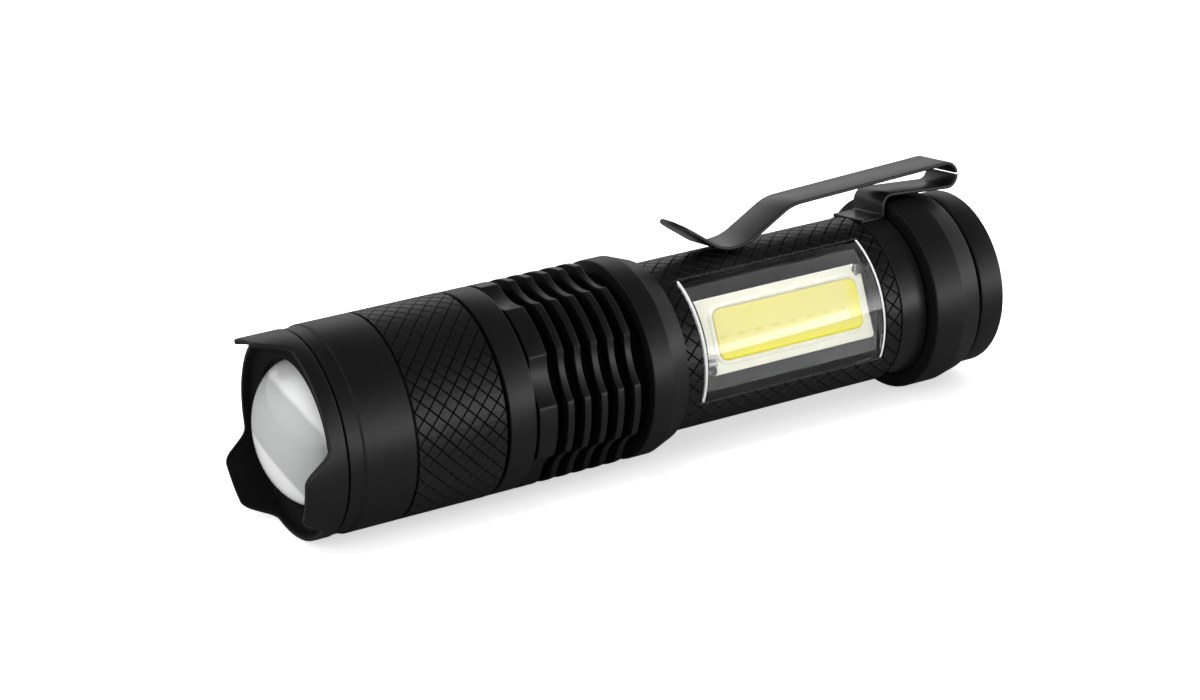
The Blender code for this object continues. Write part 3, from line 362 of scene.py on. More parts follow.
class Finish(Graph):
    """A material round one Principled shader, with patterns on Object coordinates."""

    def __init__(self, name, fixed):
        self.material = bpy.data.materials.new(LOOK + name)
        self.material.use_nodes = True
        super().__init__(self.material.node_tree)
        self.shader = self.tree.nodes["Principled BSDF"]
        self.place = self.node("ShaderNodeTexCoord", output="Object")
        self.set(fixed)

    def set(self, sockets):
        self.feed(self.shader, sockets)

    def noise(self, scale, detail=2.0, place=None):
        where = self.place if place is None else place
        return self.node("ShaderNodeTexNoise", {}, {"Vector": where, "Scale": scale, "Detail": detail})

    def lines(self, along, scale, detail=2.0):
        """Noise that changes along one coordinate only, as tool marks do."""
        return self.node("ShaderNodeTexNoise", {"noise_dimensions": "1D"},
                         {"W": along, "Scale": scale, "Detail": detail})

    def turned(self, place, turn):
        return self.node("ShaderNodeMapping", {"vector_type": "POINT"},
                         {"Vector": place, "Location": (0.0, AXIS * math.sin(turn), -AXIS * math.cos(turn)),
                          "Rotation": (turn, 0.0, 0.0)})

    def radius(self):
        """Distance from the flashlight's axis."""
        place = self.split(self.turned(self.place, 0.0))
        return self.math("SQRT", place.out("Y") * place.out("Y") + place.out("Z") * place.out("Z"))

    def split(self, place):
        return self.node("ShaderNodeSeparateXYZ", {}, {"Vector": place})

    def mix(self, factor, first, second):
        return self.node("ShaderNodeMix", {"data_type": "RGBA"}, {0: factor, 6: first, 7: second}, 2)

    def bump(self, height, depth):
        self.set({"Normal": self.node("ShaderNodeBump", {}, {"Height": height, "Distance": depth})})


def look(name):
    return bpy.data.materials[LOOK + name]


def shade(colour_value, amount):
    return (*(channel * amount for channel in colour_value), 1.0)


def anodised(name, base, roughness, lathe=0.0, knurled=False, sunk=None, painted_shade_until=None, painted_shade_gloss_loss=0.0,
             painted_side_shade=False):
    """Satin anodising: a fine grain and soft clouds, with tool marks if it is turned and painted shade on the
    grooves' sloped sides if it is knurled; sunk gives the radii below which painted shade darkens the
    recesses in front of a station, and the other arguments how much sheen that painted shade takes away and
    whether it falls on faces that look along the axis while the marked rims keep their sheen."""
    finish = Finish(name, {"Metallic": 0.0, "Specular IOR Level": 0.3})
    grain = finish.noise(4200.0, 2.0)
    cloud = finish.noise(130.0, 3.0)
    tone = finish.mix(grain, shade(base, 0.7), shade(base, 1.35))
    height = grain * 0.6
    if lathe:
        height = height + finish.lines(finish.split(finish.place), 7000.0) * lathe
    if knurled:
        land = finish.node("ShaderNodeAttribute", {"attribute_name": "land"}, output="Fac")
        # Painted shade: the knurl's sloped sides, which are not marked land, are darkened in place of the
        # shade in the grooves.
        tone = finish.mix(land, shade(base, 0.45), tone)
    dull = roughness + (cloud - 0.5) * 0.14 + (grain - 0.5) * 0.1
    if sunk:
        # Painted shade: below the sunk radii the colour fades to near black and Metallic takes the sheen
        # away, in place of shade in the recesses.
        outside_painted_shade = finish.step(finish.radius(), *sunk)
        if painted_shade_until is not None:
            outside_painted_shade = finish.math("MAXIMUM", outside_painted_shade, finish.step(finish.split(finish.place), painted_shade_until, painted_shade_until + MM))
        if painted_side_shade:
            rim = finish.node("ShaderNodeAttribute", {"attribute_name": "land"}, output="Fac")
            outside_painted_shade = outside_painted_shade * (rim * 0.6 + 0.4)
        tone = finish.mix(outside_painted_shade, shade(base, 0.2), tone)
        dull = dull + (1.0 - outside_painted_shade) * 0.5
        finish.set({"Metallic": (1.0 - outside_painted_shade) * painted_shade_gloss_loss})
    finish.set({"Base Color": tone, "Roughness": dull})
    finish.bump(height, 0.008 * MM)
    return finish.material


def spring_steel(name, base):
    """Smooth black spring steel with faint drawn lines along the strip."""
    finish = Finish(name, {"Metallic": 0.0, "Specular IOR Level": 0.34})
    drawn = finish.lines(finish.split(finish.place).out("Y"), 5200.0, 3.0)
    cloud = finish.noise(180.0, 3.0)
    finish.set({"Base Color": finish.mix(cloud, shade(base, 0.8), shade(base, 1.3)),
                "Roughness": 0.24 + cloud * 0.12 + drawn * 0.06})
    finish.bump(drawn, 0.0025 * MM)
    return finish.material


def rubber(name, base):
    finish = Finish(name, {"Specular IOR Level": 0.35})
    grain = finish.noise(2600.0, 3.0)
    finish.set({"Base Color": finish.mix(grain, shade(base, 0.8), shade(base, 1.3)),
                "Roughness": 0.62 + grain * 0.2})
    finish.bump(grain, 0.03 * MM)
    return finish.material


def clear(name, tint, waviness, shine):
    """Clear moulded plastic, a little uneven."""
    finish = Finish(name, {"Transmission Weight": 1.0, "IOR": 1.47, "Specular IOR Level": shine})
    wave = finish.noise(220.0, 2.0)
    finish.set({"Base Color": finish.mix(wave, shade(tint, 0.985), shade(tint, 1.0)),
                "Roughness": 0.004 + wave * waviness})
    finish.bump(wave, 0.004 * MM)
    return finish.material


def painted_lens(name, light, dim, sizes):
    """A thick lens with painted light in its colour: pale on one side of a slanted edge, in place of the
    white board seen through it, and a pale crescent below as a painted highlight, with dimmer painted shade
    between."""
    finish = Finish(name, {"Transmission Weight": 0.15, "IOR": 1.47})
    wave = finish.noise(160.0, 2.0)
    place = finish.split(finish.place)
    # Painted light: pale beyond a slanted edge and in a crescent near the rim, painted shade between.
    x, y, z = sizes.slant
    over = place * x + place.out("Y") * y + place.out("Z") * z + sizes.slant_from
    pale = finish.step(over + (wave - 0.5) * 0.6 * MM, -0.3 * MM, 0.5 * MM)
    x, y, z = sizes.crescent
    under = place * x + place.out("Y") * y + place.out("Z") * z - sizes.crescent_from
    crescent = finish.step(under, -0.25 * MM, 0.35 * MM)
    tone = finish.mix(finish.math("MAXIMUM", pale, crescent), shade(dim, 1.0), shade(light, 1.0))
    finish.set({"Base Color": tone, "Roughness": 0.02 + wave * 0.02})
    finish.bump(wave, 0.002 * MM)
    return finish.material


def frosted(name, tint):
    """Clear plastic with a ground face, which scatters the light."""
    finish = Finish(name, {"Transmission Weight": 0.45, "IOR": 1.47})
    grain = finish.noise(1500.0, 2.0)
    finish.set({"Base Color": finish.mix(grain, shade(tint, 0.9), shade(tint, 1.0)),
                "Roughness": 0.35 + grain * 0.2})
    finish.bump(grain, 0.01 * MM)
    return finish.material


def white_mask(name, base):
    finish = Finish(name, {"Specular IOR Level": 0.4})
    cloud = finish.noise(420.0, 3.0)
    fleck = finish.noise(3600.0, 2.0)
    finish.set({"Base Color": finish.mix(cloud, shade(base, 0.95), shade(base, 1.03)),
                "Roughness": 0.36 + fleck * 0.16})
    finish.bump(fleck, 0.006 * MM)
    return finish.material


def phosphor(name, base, deep, sizes):
    """Yellow silicone: deeper at the lower edge and the rear end, with the row of chips showing faintly."""
    finish = Finish(name, {"Specular IOR Level": 0.35})
    place = finish.split(finish.turned(finish.place, -sizes.centre))
    along, side = place, place.out("Y")
    cloud = finish.noise(500.0, 3.0)
    edge = finish.step(side, -1.2 * MM, -sizes.strip_half)
    end = finish.step(along, rear("strip_phosphor") - 2.4 * MM, rear("strip_phosphor"))
    depth = finish.math("MAXIMUM", edge, end * 0.8) * 0.9 + (cloud - 0.5) * 0.16
    tone = finish.mix(depth, shade(base, 1.0), shade(deep, 1.0))
    pitch = 2.75 * MM
    beat = finish.math("ABSOLUTE", (along % pitch) / pitch - 0.5)
    near = finish.math("ABSOLUTE", side + 0.35 * MM)
    chip = finish.step(beat, 0.30, 0.12) * finish.step(near, 0.32 * MM, 0.10 * MM)
    finish.set({"Base Color": finish.mix(chip * 0.30, tone, shade(deep, 0.62)),
                "Roughness": 0.42 + cloud * 0.2})
    finish.bump(cloud, 0.02 * MM)
    return finish.material


def machined(name, base, roughness):
    """Bright turned metal with rings about the axis."""
    finish = Finish(name, {"Metallic": 1.0})
    rings = finish.lines(finish.radius(), 5200.0)
    cloud = finish.noise(260.0, 3.0)
    finish.set({"Base Color": finish.mix(cloud, shade(base, 0.86), shade(base, 1.0)),
                "Roughness": roughness + rings * 0.18})
    finish.bump(rings, 0.01 * MM)
    return finish.material


def moulded(name, base, roughness, metallic=0.0):
    """A plain moulding or coating, a little uneven."""
    finish = Finish(name, {"Metallic": metallic})
    cloud = finish.noise(700.0, 3.0)
    finish.set({"Base Color": finish.mix(cloud, shade(base, 0.82), shade(base, 1.1)),
                "Roughness": roughness - 0.08 + cloud * 0.16})
    finish.bump(cloud, 0.01 * MM)
    return finish.material


def circuit(name, base):
    """Solder mask with copper tracks under it."""
    finish = Finish(name, {"Specular IOR Level": 0.5})
    cells = finish.node("ShaderNodeTexVoronoi", {"feature": "DISTANCE_TO_EDGE", "distance": "MANHATTAN"},
                        {"Vector": finish.place, "Scale": 420.0})
    track = finish.step(cells, 0.05, 0.09)
    finish.set({"Base Color": finish.mix(track, shade(base, 0.6), shade(base, 1.15)),
                "Roughness": 0.32 + track * 0.12})
    finish.bump(track, 0.02 * MM)
    return finish.material


def tinned_lead(name, base, tinned_from):
    """Insulated lead whose stripped end, in the window, is tinned."""
    finish = Finish(name, {})
    bare = finish.step(finish.split(finish.place), tinned_from, tinned_from + 0.2 * MM)
    cloud = finish.noise(900.0, 2.0)
    tone = finish.mix(bare, shade(base, 1.0), (0.62, 0.62, 0.63, 1.0))
    finish.set({"Base Color": finish.mix(cloud * 0.25, tone, (0.3, 0.3, 0.3, 1.0)), "Metallic": bare * 0.9,
                "Roughness": 0.4 + cloud * 0.15})
    return finish.material


# Meshes


def rounded(outline, radius, steps=4, closed=True):
    """An outline of (station, radius) points whose corners are rounded, less where there is no room."""
    points = [np.array(p, float) for p in outline]
    made = []
    for k, corner in enumerate(points):
        if not closed and k in (0, len(points) - 1):
            made.append(corner)
            continue
        before, after = points[k - 1] - corner, points[(k + 1) % len(points)] - corner
        lengths = np.linalg.norm(before), np.linalg.norm(after)
        cosine = np.dot(before, after) / (lengths[0] * lengths[1])
        half = math.acos(max(-1.0, min(1.0, cosine))) / 2
        reach = min(radius / max(math.tan(half), 1e-6), 0.45 * lengths[0], 0.45 * lengths[1])
        if math.pi / 2 - half < 0.02:
            made.append(corner)
            continue
        first = corner + before / lengths[0] * reach
        last = corner + after / lengths[1] * reach
        for t in np.linspace(0, 1, steps + 1):
            made.append((1 - t) ** 2 * first + 2 * t * (1 - t) * corner + t ** 2 * last)
    return np.array(made)


def whole(bm, name):
    """The bmesh as a closed mesh with outward faces."""
    bmesh.ops.remove_doubles(bm, verts=bm.verts, dist=WELD)
    bmesh.ops.recalc_face_normals(bm, faces=bm.faces)
    mesh = bpy.data.meshes.new(name)
    bm.to_mesh(mesh)
    bm.free()
    return mesh


def grid(rows, name, wrap_rows=False, wrap_columns=False, caps=False):
    """A mesh through rows of points, each row with the same number of points."""
    rows = np.asarray(rows, float)
    high, wide = rows.shape[:2]
    bm = bmesh.new()
    verts = [bm.verts.new(p) for p in rows.reshape(-1, 3)]
    for i in range(high if wrap_rows else high - 1):
        for j in range(wide if wrap_columns else wide - 1):
            i2, j2 = (i + 1) % high, (j + 1) % wide
            corners = (i, j), (i, j2), (i2, j2), (i2, j)
            bm.faces.new([verts[row * wide + column] for row, column in corners])
    if caps:
        bm.faces.new(verts[:wide])
        bm.faces.new(verts[-wide:])
    return whole(bm, name)


def round_angles(steps):
    return np.linspace(0, TURN, steps, endpoint=False)


def spun(outline, name, angles, closed=True, shape=None):
    """A mesh turned about the flashlight's axis; shape may move its points by their angle from the top."""
    outline = np.asarray(outline, float)
    about = np.asarray(angles)[:, None]
    x = np.repeat(outline[None, :, 0], len(about), 0)
    r = np.repeat(outline[None, :, 1], len(about), 0)
    if shape is not None:
        x, r = shape(x, r, about)
    points = np.stack([x, -r * np.sin(about), AXIS + r * np.cos(about)], -1)
    return grid(points, name, wrap_rows=True, wrap_columns=closed)


def about_axis(turn):
    """The frame of a piece that is turned about the axis from the top."""
    return Matrix.Translation((0, 0, AXIS)) @ Matrix.Rotation(turn, 4, "X")


def prism(outline, start, stop, name, place):
    """A closed outline of (side, height) points drawn out along the axis."""
    rows = [[(x, side, height) for side, height in outline] for x in (start, stop)]
    mesh = grid(rows, name, wrap_columns=True, caps=True)
    mesh.transform(place)
    return mesh


def soft_rectangle(low, high, corner, steps=6):
    """An outline of a rectangle with round corners."""
    made = []
    corners = (high[0], high[1]), (low[0], high[1]), (low[0], low[1]), (high[0], low[1])
    for start, (cx, cy) in enumerate(corners):
        mid = (cx - math.copysign(corner, cx - (low[0] + high[0]) / 2),
               cy - math.copysign(corner, cy - (low[1] + high[1]) / 2))
        for t in np.linspace(0, math.pi / 2, steps + 1):
            turn = start * math.pi / 2 + t
            made.append((mid[0] + corner * math.cos(turn), mid[1] + corner * math.sin(turn)))
    return made


def pad(outline, levels, name, place):
    """A plate from a flat outline of (station, side) points; levels are (height, how far it is drawn in)."""
    flat = np.array(outline)
    ahead = np.roll(flat, -1, 0) - np.roll(flat, 1, 0)
    inward = np.stack([-ahead[:, 1], ahead[:, 0]], -1)
    inward /= np.linalg.norm(inward, axis=1)[:, None]
    rows = []
    for height, drawn in levels:
        moved = flat + inward * drawn
        rows.append(np.column_stack([moved, np.full(len(flat), height)]))
    mesh = grid(rows, name, wrap_columns=True, caps=True)
    mesh.transform(place)
    return mesh


def worked(mesh, kind, settings):
    """The mesh after one modifier."""
    holder = bpy.data.objects.new(mesh.name, mesh)
    bpy.context.scene.collection.objects.link(holder)
    modifier = holder.modifiers.new(kind, kind)
    for name, setting in settings.items():
        setattr(modifier, name, setting)
    graph = bpy.context.evaluated_depsgraph_get()
    made = bpy.data.meshes.new_from_object(holder.evaluated_get(graph))
    bpy.data.objects.remove(holder)
    return made


def cut(mesh, tool_mesh, operation="DIFFERENCE"):
    tool = bpy.data.objects.new("tool", tool_mesh)
    bpy.context.scene.collection.objects.link(tool)
    made = worked(mesh, "BOOLEAN", {"object": tool, "operation": operation, "solver": "EXACT"})
    bpy.data.objects.remove(tool)
    return made


def bevelled(mesh, width, segments=2):
    return worked(mesh, "BEVEL", {"width": width, "segments": segments, "limit_method": "ANGLE",
                                  "angle_limit": math.radians(40), "harden_normals": False})


def joined(meshes, name):
    bm = bmesh.new()
    for mesh in meshes:
        bm.from_mesh(mesh)
    made = bpy.data.meshes.new(name)
    bm.to_mesh(made)
    bm.free()
    return made


def add_piece(name, mesh, finish, body, nodes, smooth=32.0):
    """A finished piece at the origin that rides on a body and stands for CAD nodes."""
    mesh.name = name
    mesh.materials.clear()
    mesh.materials.append(look(finish))
    if smooth:
        mesh.shade_smooth()
        mesh.set_sharp_from_angle(angle=math.radians(smooth))
    made = bpy.data.objects.new(name, mesh)
    bpy.context.scene.collection.objects.link(made)
    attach(made, body)
    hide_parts(*nodes)
    return made


# Repeated shapes


def growing_tree(name, inputs):
    """An empty Geometry Nodes group with named inputs, and the values of those inputs."""
    tree = bpy.data.node_groups.new(name, "GeometryNodeTree")
    tree.is_modifier = True
    kinds = {float: "NodeSocketFloat", int: "NodeSocketInt"}
    tree.interface.new_socket("Shape", in_out="INPUT", socket_type="NodeSocketGeometry")
    for label, kind in inputs:
        tree.interface.new_socket(label, in_out="INPUT", socket_type=kinds.get(kind, "NodeSocketMaterial"))
    tree.interface.new_socket("Shape", in_out="OUTPUT", socket_type="NodeSocketGeometry")
    graph = Graph(tree)
    given = graph.node("NodeGroupInput")
    return graph, given


def close_tree(graph, geometry, given):
    real = graph.node("GeometryNodeRealizeInstances", {}, {"Geometry": geometry})
    dressed = graph.node("GeometryNodeSetMaterial", {}, {"Geometry": real, "Material": given.out("Finish")})
    graph.node("NodeGroupOutput", {}, {"Shape": dressed})
    return graph.tree


def knurl_tree():
    """Lays a diamond on a staggered grid and wraps the sheet round the axis; end rows are cut in half."""
    graph, given = growing_tree("diamond_knurl", (
        ("Front", float), ("Length", float), ("Radius", float), ("Columns", int), ("Rows", int),
        ("Finish", "material")))
    columns, rows, long = given.out("Columns"), given.out("Rows"), given.out("Length")
    turn = TURN / columns
    sheet = graph.node("GeometryNodeMeshGrid", {}, {
        "Size X": turn * (columns - 1.0), "Size Y": long,
        "Vertices X": columns, "Vertices Y": rows * 2.0 + 1.0})
    spot = graph.node("GeometryNodeInputPosition")
    apart = graph.node("ShaderNodeSeparateXYZ", {}, {"Vector": spot})
    row = graph.math("ROUND", (apart.out("Y") / long + 0.5) * rows * 2.0)
    stagger = graph.node("ShaderNodeCombineXYZ", {}, {"X": (row % 2.0) * turn * 0.5})
    staggered = graph.node("GeometryNodeSetPosition", {}, {"Geometry": sheet, "Offset": stagger})
    laid = graph.node("GeometryNodeInstanceOnPoints", {}, {"Points": staggered, "Instance": given})
    real = graph.node("GeometryNodeRealizeInstances", {}, {"Geometry": laid})
    place = graph.node("GeometryNodeInputPosition")
    flat = graph.node("ShaderNodeSeparateXYZ", {}, {"Vector": place})
    inside = graph.math("MAXIMUM", graph.math("MINIMUM", flat.out("Y"), long * 0.5), long * -0.5)
    radius = flat.out("Z") + given.out("Radius")
    across = graph.math("SINE", flat) * radius * -1.0
    height = graph.math("COSINE", flat) * radius + AXIS
    wrapped = graph.node("ShaderNodeCombineXYZ", {}, {
        "X": inside + long * 0.5 + given.out("Front"), "Y": across, "Z": height})
    bent = graph.node("GeometryNodeSetPosition", {}, {"Geometry": real, "Position": wrapped})
    welded = graph.node("GeometryNodeMergeByDistance", {}, {"Geometry": bent, "Distance": 1e-6})
    return close_tree(graph, welded, given)


def stack_tree():
    """Repeats one fin along the axis."""
    graph, given = growing_tree("fin_stack", (("Count", int), ("Pitch", float), ("Finish", "material")))
    step = graph.node("ShaderNodeCombineXYZ", {}, {"X": given.out("Pitch")})
    spots = graph.node("GeometryNodeMeshLine", {}, {"Count": given.out("Count"), "Offset": step})
    laid = graph.node("GeometryNodeInstanceOnPoints", {}, {"Points": spots, "Instance": given})
    return close_tree(graph, laid, given)


def grown(mesh, tree, inputs):
    """The plain mesh that a tree makes from a shape and its named inputs."""
    holder = bpy.data.objects.new(mesh.name, mesh)
    modifier = holder.modifiers.new(tree.name, "NODES")
    modifier.node_group = tree
    for item in tree.interface.items_tree:
        if item.in_out == "INPUT" and item.name in inputs:
            modifier[item.identifier] = inputs[item.name]
    bpy.context.scene.collection.objects.link(holder)
    graph = bpy.context.evaluated_depsgraph_get()
    made = bpy.data.meshes.new_from_object(holder.evaluated_get(graph))
    bpy.data.objects.remove(holder)
    return made


def diamond(half_turn, half_length, depth, land):
    """One knurl diamond on the unrolled sheet: a flat top and four sloped sides, top faces marked land so
    that the finish paints shade on the sides.
    """
    ring = [(half_turn, 0), (0, half_length), (-half_turn, 0), (0, -half_length)]
    points = [(u, v, -depth) for u, v in ring] + [(u * land, v * land, 0) for u, v in ring]
    faces = [(4, 5, 7), (5, 6, 7)] + [(k, (k + 1) % 4, 4 + (k + 1) % 4, 4 + k) for k in range(4)]
    mesh = bpy.data.meshes.new("diamond")
    mesh.from_pydata(points, [], faces)
    marks = mesh.attributes.new("land", "FLOAT", "FACE")
    marks.data.foreach_set("value", [1.0, 1.0, 0.0, 0.0, 0.0, 0.0])
    return mesh


def knurl_sleeve(start, long, radius, sizes, finish, inner):
    """A closed sleeve whose outside is knurled."""
    tile = diamond(TURN / sizes.columns / 2, long / sizes.rows / 2, sizes.knurl_depth, sizes.knurl_land)
    mesh = grown(tile, knurl_tree(), {
        "Front": start, "Length": long, "Radius": radius, "Columns": sizes.columns, "Rows": sizes.rows,
        "Finish": look(finish)})
    bm = bmesh.new()
    bm.from_mesh(mesh)
    rim = [e for e in bm.edges if e.is_boundary]
    inset = bmesh.ops.extrude_edge_only(bm, edges=rim)["geom"]
    for vert in (v for v in inset if isinstance(v, bmesh.types.BMVert)):
        off = Vector((0, vert.co.y, vert.co.z - AXIS))
        vert.co = Vector((vert.co.x, 0, AXIS)) + off * (inner / off.length)
    open_edges = [part for part in inset if isinstance(part, bmesh.types.BMEdge) and part.is_boundary]
    bmesh.ops.bridge_loops(bm, edges=open_edges)
    bmesh.ops.triangulate(bm, faces=bm.faces)
    bmesh.ops.recalc_face_normals(bm, faces=bm.faces)
    made = bpy.data.meshes.new("sleeve")
    bm.to_mesh(made)
    bm.free()
    return made


# Operators


class FLASHLIGHT_OT_finishes(bpy.types.Operator):
    """Mix the finishes that the pieces wear"""

    bl_idname = "flashlight.finishes"
    bl_label = "Mix Finishes"

    def execute(self, context):
        c = context.scene.flashlight_colours
        anodised("turned_black", c.anodised, 0.42, lathe=0.5)
        body, crown = context.scene.flashlight_body, context.scene.flashlight_crown
        tail = context.scene.flashlight_tail
        # Painted shade: fin roots and sides, the body's recesses in front of the window, the crown's inside
        # wall and the cap's front face are painted near black where shade falls.
        anodised("finned_black", c.anodised, 0.36, sunk=(body.root + 0.3 * MM, body.root + 1.0 * MM),
                 painted_shade_gloss_loss=0.8, painted_side_shade=True)
        anodised("core_black", c.anodised, 0.42, lathe=0.5, sunk=(body.root, body.root + 0.8 * MM),
                 painted_shade_until=front("strip_cover") - 3 * MM, painted_shade_gloss_loss=0.8)
        inside = crown.radius - crown.wall
        anodised("crown_black", c.anodised, 0.42, lathe=0.5, sunk=(inside + 0.1 * MM, inside + 0.4 * MM))
        anodised("cap_black", c.anodised, 0.42, lathe=0.5, sunk=(tail.painted_shade_below, tail.painted_shade_below + 0.3 * MM))
        # Painted shade: the knurl's groove sides are darkened in colour.
        anodised("knurled_black", c.anodised, 0.40, knurled=True)
        spring_steel("spring_black", c.spring)
        rubber("black_rubber", c.rubber)
        painted_lens("lens_clear", c.lens, c.lens_painted_shade, context.scene.flashlight_lens)
        clear("cover_clear", (0.985, 0.99, 0.99), 0.015, 0.03)
        frosted("frosted_clear", (0.93, 0.935, 0.935))
        white_mask("white_board", c.board)
        moulded("white_plastic", c.board, 0.5)
        phosphor("yellow_phosphor", c.strip, c.strip_deep, context.scene.flashlight_light)
        machined("bare_aluminium", c.bare, 0.26)
        machined("nickel_steel", c.steel, 0.2)
        machined("turned_brass", c.brass, 0.28)
        circuit("green_circuit", c.mask)
        moulded("moulded_black", (0.03, 0.03, 0.03), 0.5)
        moulded("cell_wrap", c.wrap, 0.35)
        moulded("emitter_ceramic", c.ceramic, 0.5)
        moulded("solder", (0.55, 0.55, 0.56), 0.35, 0.6)
        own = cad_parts["strip_lead_red"].matrix_world.inverted()
        window = (own @ Vector((front("strip_cover") - 4 * MM, 0, 0))).x
        tinned_lead("lead_red", c.lead, window)
        tinned_lead("lead_black", (0.03, 0.03, 0.03), window)
        return {"FINISHED"}


class FLASHLIGHT_OT_inside(bpy.types.Operator):
    """Dress the pieces that are sealed inside"""

    bl_idname = "flashlight.inside"
    bl_label = "Dress Inner Pieces"

    worn = {
        "bare_aluminium": ("led_holder",),
        "white_board": ("led_star_board",),
        "white_plastic": ("led_insulator",),
        "emitter_ceramic": ("led_package",),
        "lens_clear": ("led_dome",),
        "green_circuit": ("driver_board", "switch_board"),
        "moulded_black": ("driver_chip", "driver_coil", "switch_housing", "switch_plunger"),
        "nickel_steel": ("driver_spring", "tail_spring", "cell_positive_cap"),
        "turned_brass": ("switch_retainer",),
        "cell_wrap": ("cell_can",),
        "lead_red": ("strip_lead_red",),
        "lead_black": ("strip_lead_black",),
        "black_rubber": ("lens_gasket", "zoom_o_ring", "tail_o_ring", "boot_flange"),
    }

    def execute(self, context):
        for finish, names in self.worn.items():
            for name in names:
                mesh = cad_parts[name].data
                mesh.materials.clear()
                mesh.materials.append(look(finish))
        return {"FINISHED"}


class FLASHLIGHT_OT_head(bpy.types.Operator):
    """Turn the sliding head and its knurled band"""

    bl_idname = "flashlight.head"
    bl_label = "Make Head"

    def execute(self, context):
        s = context.scene.flashlight_head
        lens = context.scene.flashlight_lens
        start, stop = front("zoom_head"), rear("zoom_head")
        band = stop - s.knurl_band
        land_r, under = s.radius - s.land_drop, s.radius - 2 * s.knurl_depth
        seat = rear("lens") + 0.3 * MM
        outline = [(start, land_r), (start + s.land, land_r), (start + s.land + s.land_drop, s.radius)]
        outline += [(band - s.border, s.radius), (band, s.radius - s.border), (band, under)]
        outline += [(stop - s.edge, under), (stop, under - s.edge)]
        outline += [(stop, s.neck_bore), (stop - 2.5 * MM, s.neck_bore), (stop - 2.5 * MM, s.bore)]
        outline += [(seat + 1.5 * MM, s.bore), (seat + 1.5 * MM, lens.radius - MM)]
        outline += [(seat, lens.radius - MM), (seat, s.bore + 0.25 * MM), (start, s.bore + 0.25 * MM)]
        mesh = spun(rounded(outline, 0.06 * MM), "head", round_angles(160))
        add_piece("head_shell", mesh, "turned_black", "zoom_head", ["zoom_head"])
        sleeve = knurl_sleeve(band + 0.12 * MM, s.knurl_band - 0.24 * MM, s.radius, s, "knurled_black",
                              s.radius - 3 * s.knurl_depth)
        add_piece("head_knurl", sleeve, "knurled_black", "zoom_head", ["zoom_head"], 0)
        return {"FINISHED"}


def petal_rise(turns, s):
    """How far up a petal the crown's edge stands: straight flanks with rounded corners."""
    period = TURN / s.petals
    off = np.abs((turns - s.centre + period / 2) % period - period / 2)
    climb = 1 - (off - s.tip / 2) / s.flank

    def filled(t):
        return np.where(t < 0, 0.0, np.where(t > 1, t - 0.5, t * t / 2))

    return (filled(climb + s.softness) - filled(climb - s.softness)) / (2 * s.softness)


class FLASHLIGHT_OT_crown(bpy.types.Operator):
    """Make the bezel crown with its petals"""

    bl_idname = "flashlight.crown"
    bl_label = "Make Crown"

    def execute(self, context):
        s = context.scene.flashlight_crown
        low = front("bezel_crown")
        back = front("zoom_head") - 0.3 * MM
        rim, bore = low + s.petal_height, s.radius - s.wall
        lip = back - 1.1 * MM
        outline = [(rim, bore), (rim, s.radius), (back, s.radius), (back, bore - 0.9 * MM)]
        outline += [(back - 0.3 * MM, bore - 0.9 * MM), (back - 0.3 * MM, s.lip_bore)]
        outline += [(lip, s.lip_bore), (lip, bore)]
        smooth = rounded(outline, 0.16 * MM, 3)

        def raise_petals(x, r, turns):
            reach = np.clip((lip - x) / (lip - rim), 0, 1)
            return x - reach * s.petal_height * petal_rise(turns, s), r

        mesh = spun(smooth, "crown", round_angles(540), shape=raise_petals)
        add_piece("crown", mesh, "crown_black", "zoom_head", ["bezel_crown"], 40)
        return {"FINISHED"}


class FLASHLIGHT_OT_lens(bpy.types.Operator):
    """Make the domed lens"""

    bl_idname = "flashlight.lens"
    bl_label = "Make Lens"

    def execute(self, context):
        s = context.scene.flashlight_lens
        apex, back = front("lens"), rear("lens")
        shoulder, dome_r = back - s.flange, s.radius - s.flange_width
        depth = shoulder - apex
        sweep = np.linspace(0, math.pi / 2, 41)
        outline = [(shoulder - depth * math.cos(t), dome_r * math.sin(t)) for t in sweep]
        outline[0] = (apex, 0.0)
        outline += [(shoulder, s.radius), (back, s.radius), (back, 0.0)]
        mesh = spun(outline, "lens", round_angles(128), closed=False)
        add_piece("lens_dome", mesh, "lens_clear", "zoom_head", ["lens"])
        return {"FINISHED"}


def scallop_fall(turns, s):
    """How far a scallop lowers the rim at an angle, with its edges eased."""
    half = s.scallop_width / 2
    sunk = s.scallop_depth - s.radius * (1 - math.cos(half))
    mill = ((s.radius * math.sin(half)) ** 2 + sunk ** 2) / (2 * sunk)
    reach = s.radius - s.scallop_depth + mill
    period = TURN / s.scallops
    off = (turns - s.scallop_centre + period / 2) % period - period / 2
    inside = np.clip(mill ** 2 - (reach * np.sin(off)) ** 2, 0, None)
    fall = s.radius - (reach * np.cos(off) - np.sqrt(inside))
    fall = np.where(inside > 0, fall, -5 * MM)
    return (fall + np.sqrt(fall ** 2 + 4 * s.scallop_soft ** 2)) / 2


def mark_rims(mesh):
    """Mark each face with how far it looks outwards rather than along the axis, so that the finish paints
    shade on the faces that look along the axis.
    """
    normals = np.empty(len(mesh.polygons) * 3, dtype=np.float32)
    mesh.polygons.foreach_get("normal", normals)
    along = np.abs(normals[0::3])
    marks = mesh.attributes.new("land", "FLOAT", "FACE")
    marks.data.foreach_set("value", (1 - np.clip((along - 0.5) / 0.4, 0, 1)).astype(np.float32))
    return mesh


def scalloped(s):
    def shape(x, r, turns):
        share_up = np.clip((r - s.root) / (s.radius - s.root), 0, 1)
        fall = scallop_fall(turns, s)
        return x, r - np.where(r > s.root, np.minimum(fall, r - s.root) * np.ceil(share_up), 0.0)
    return shape


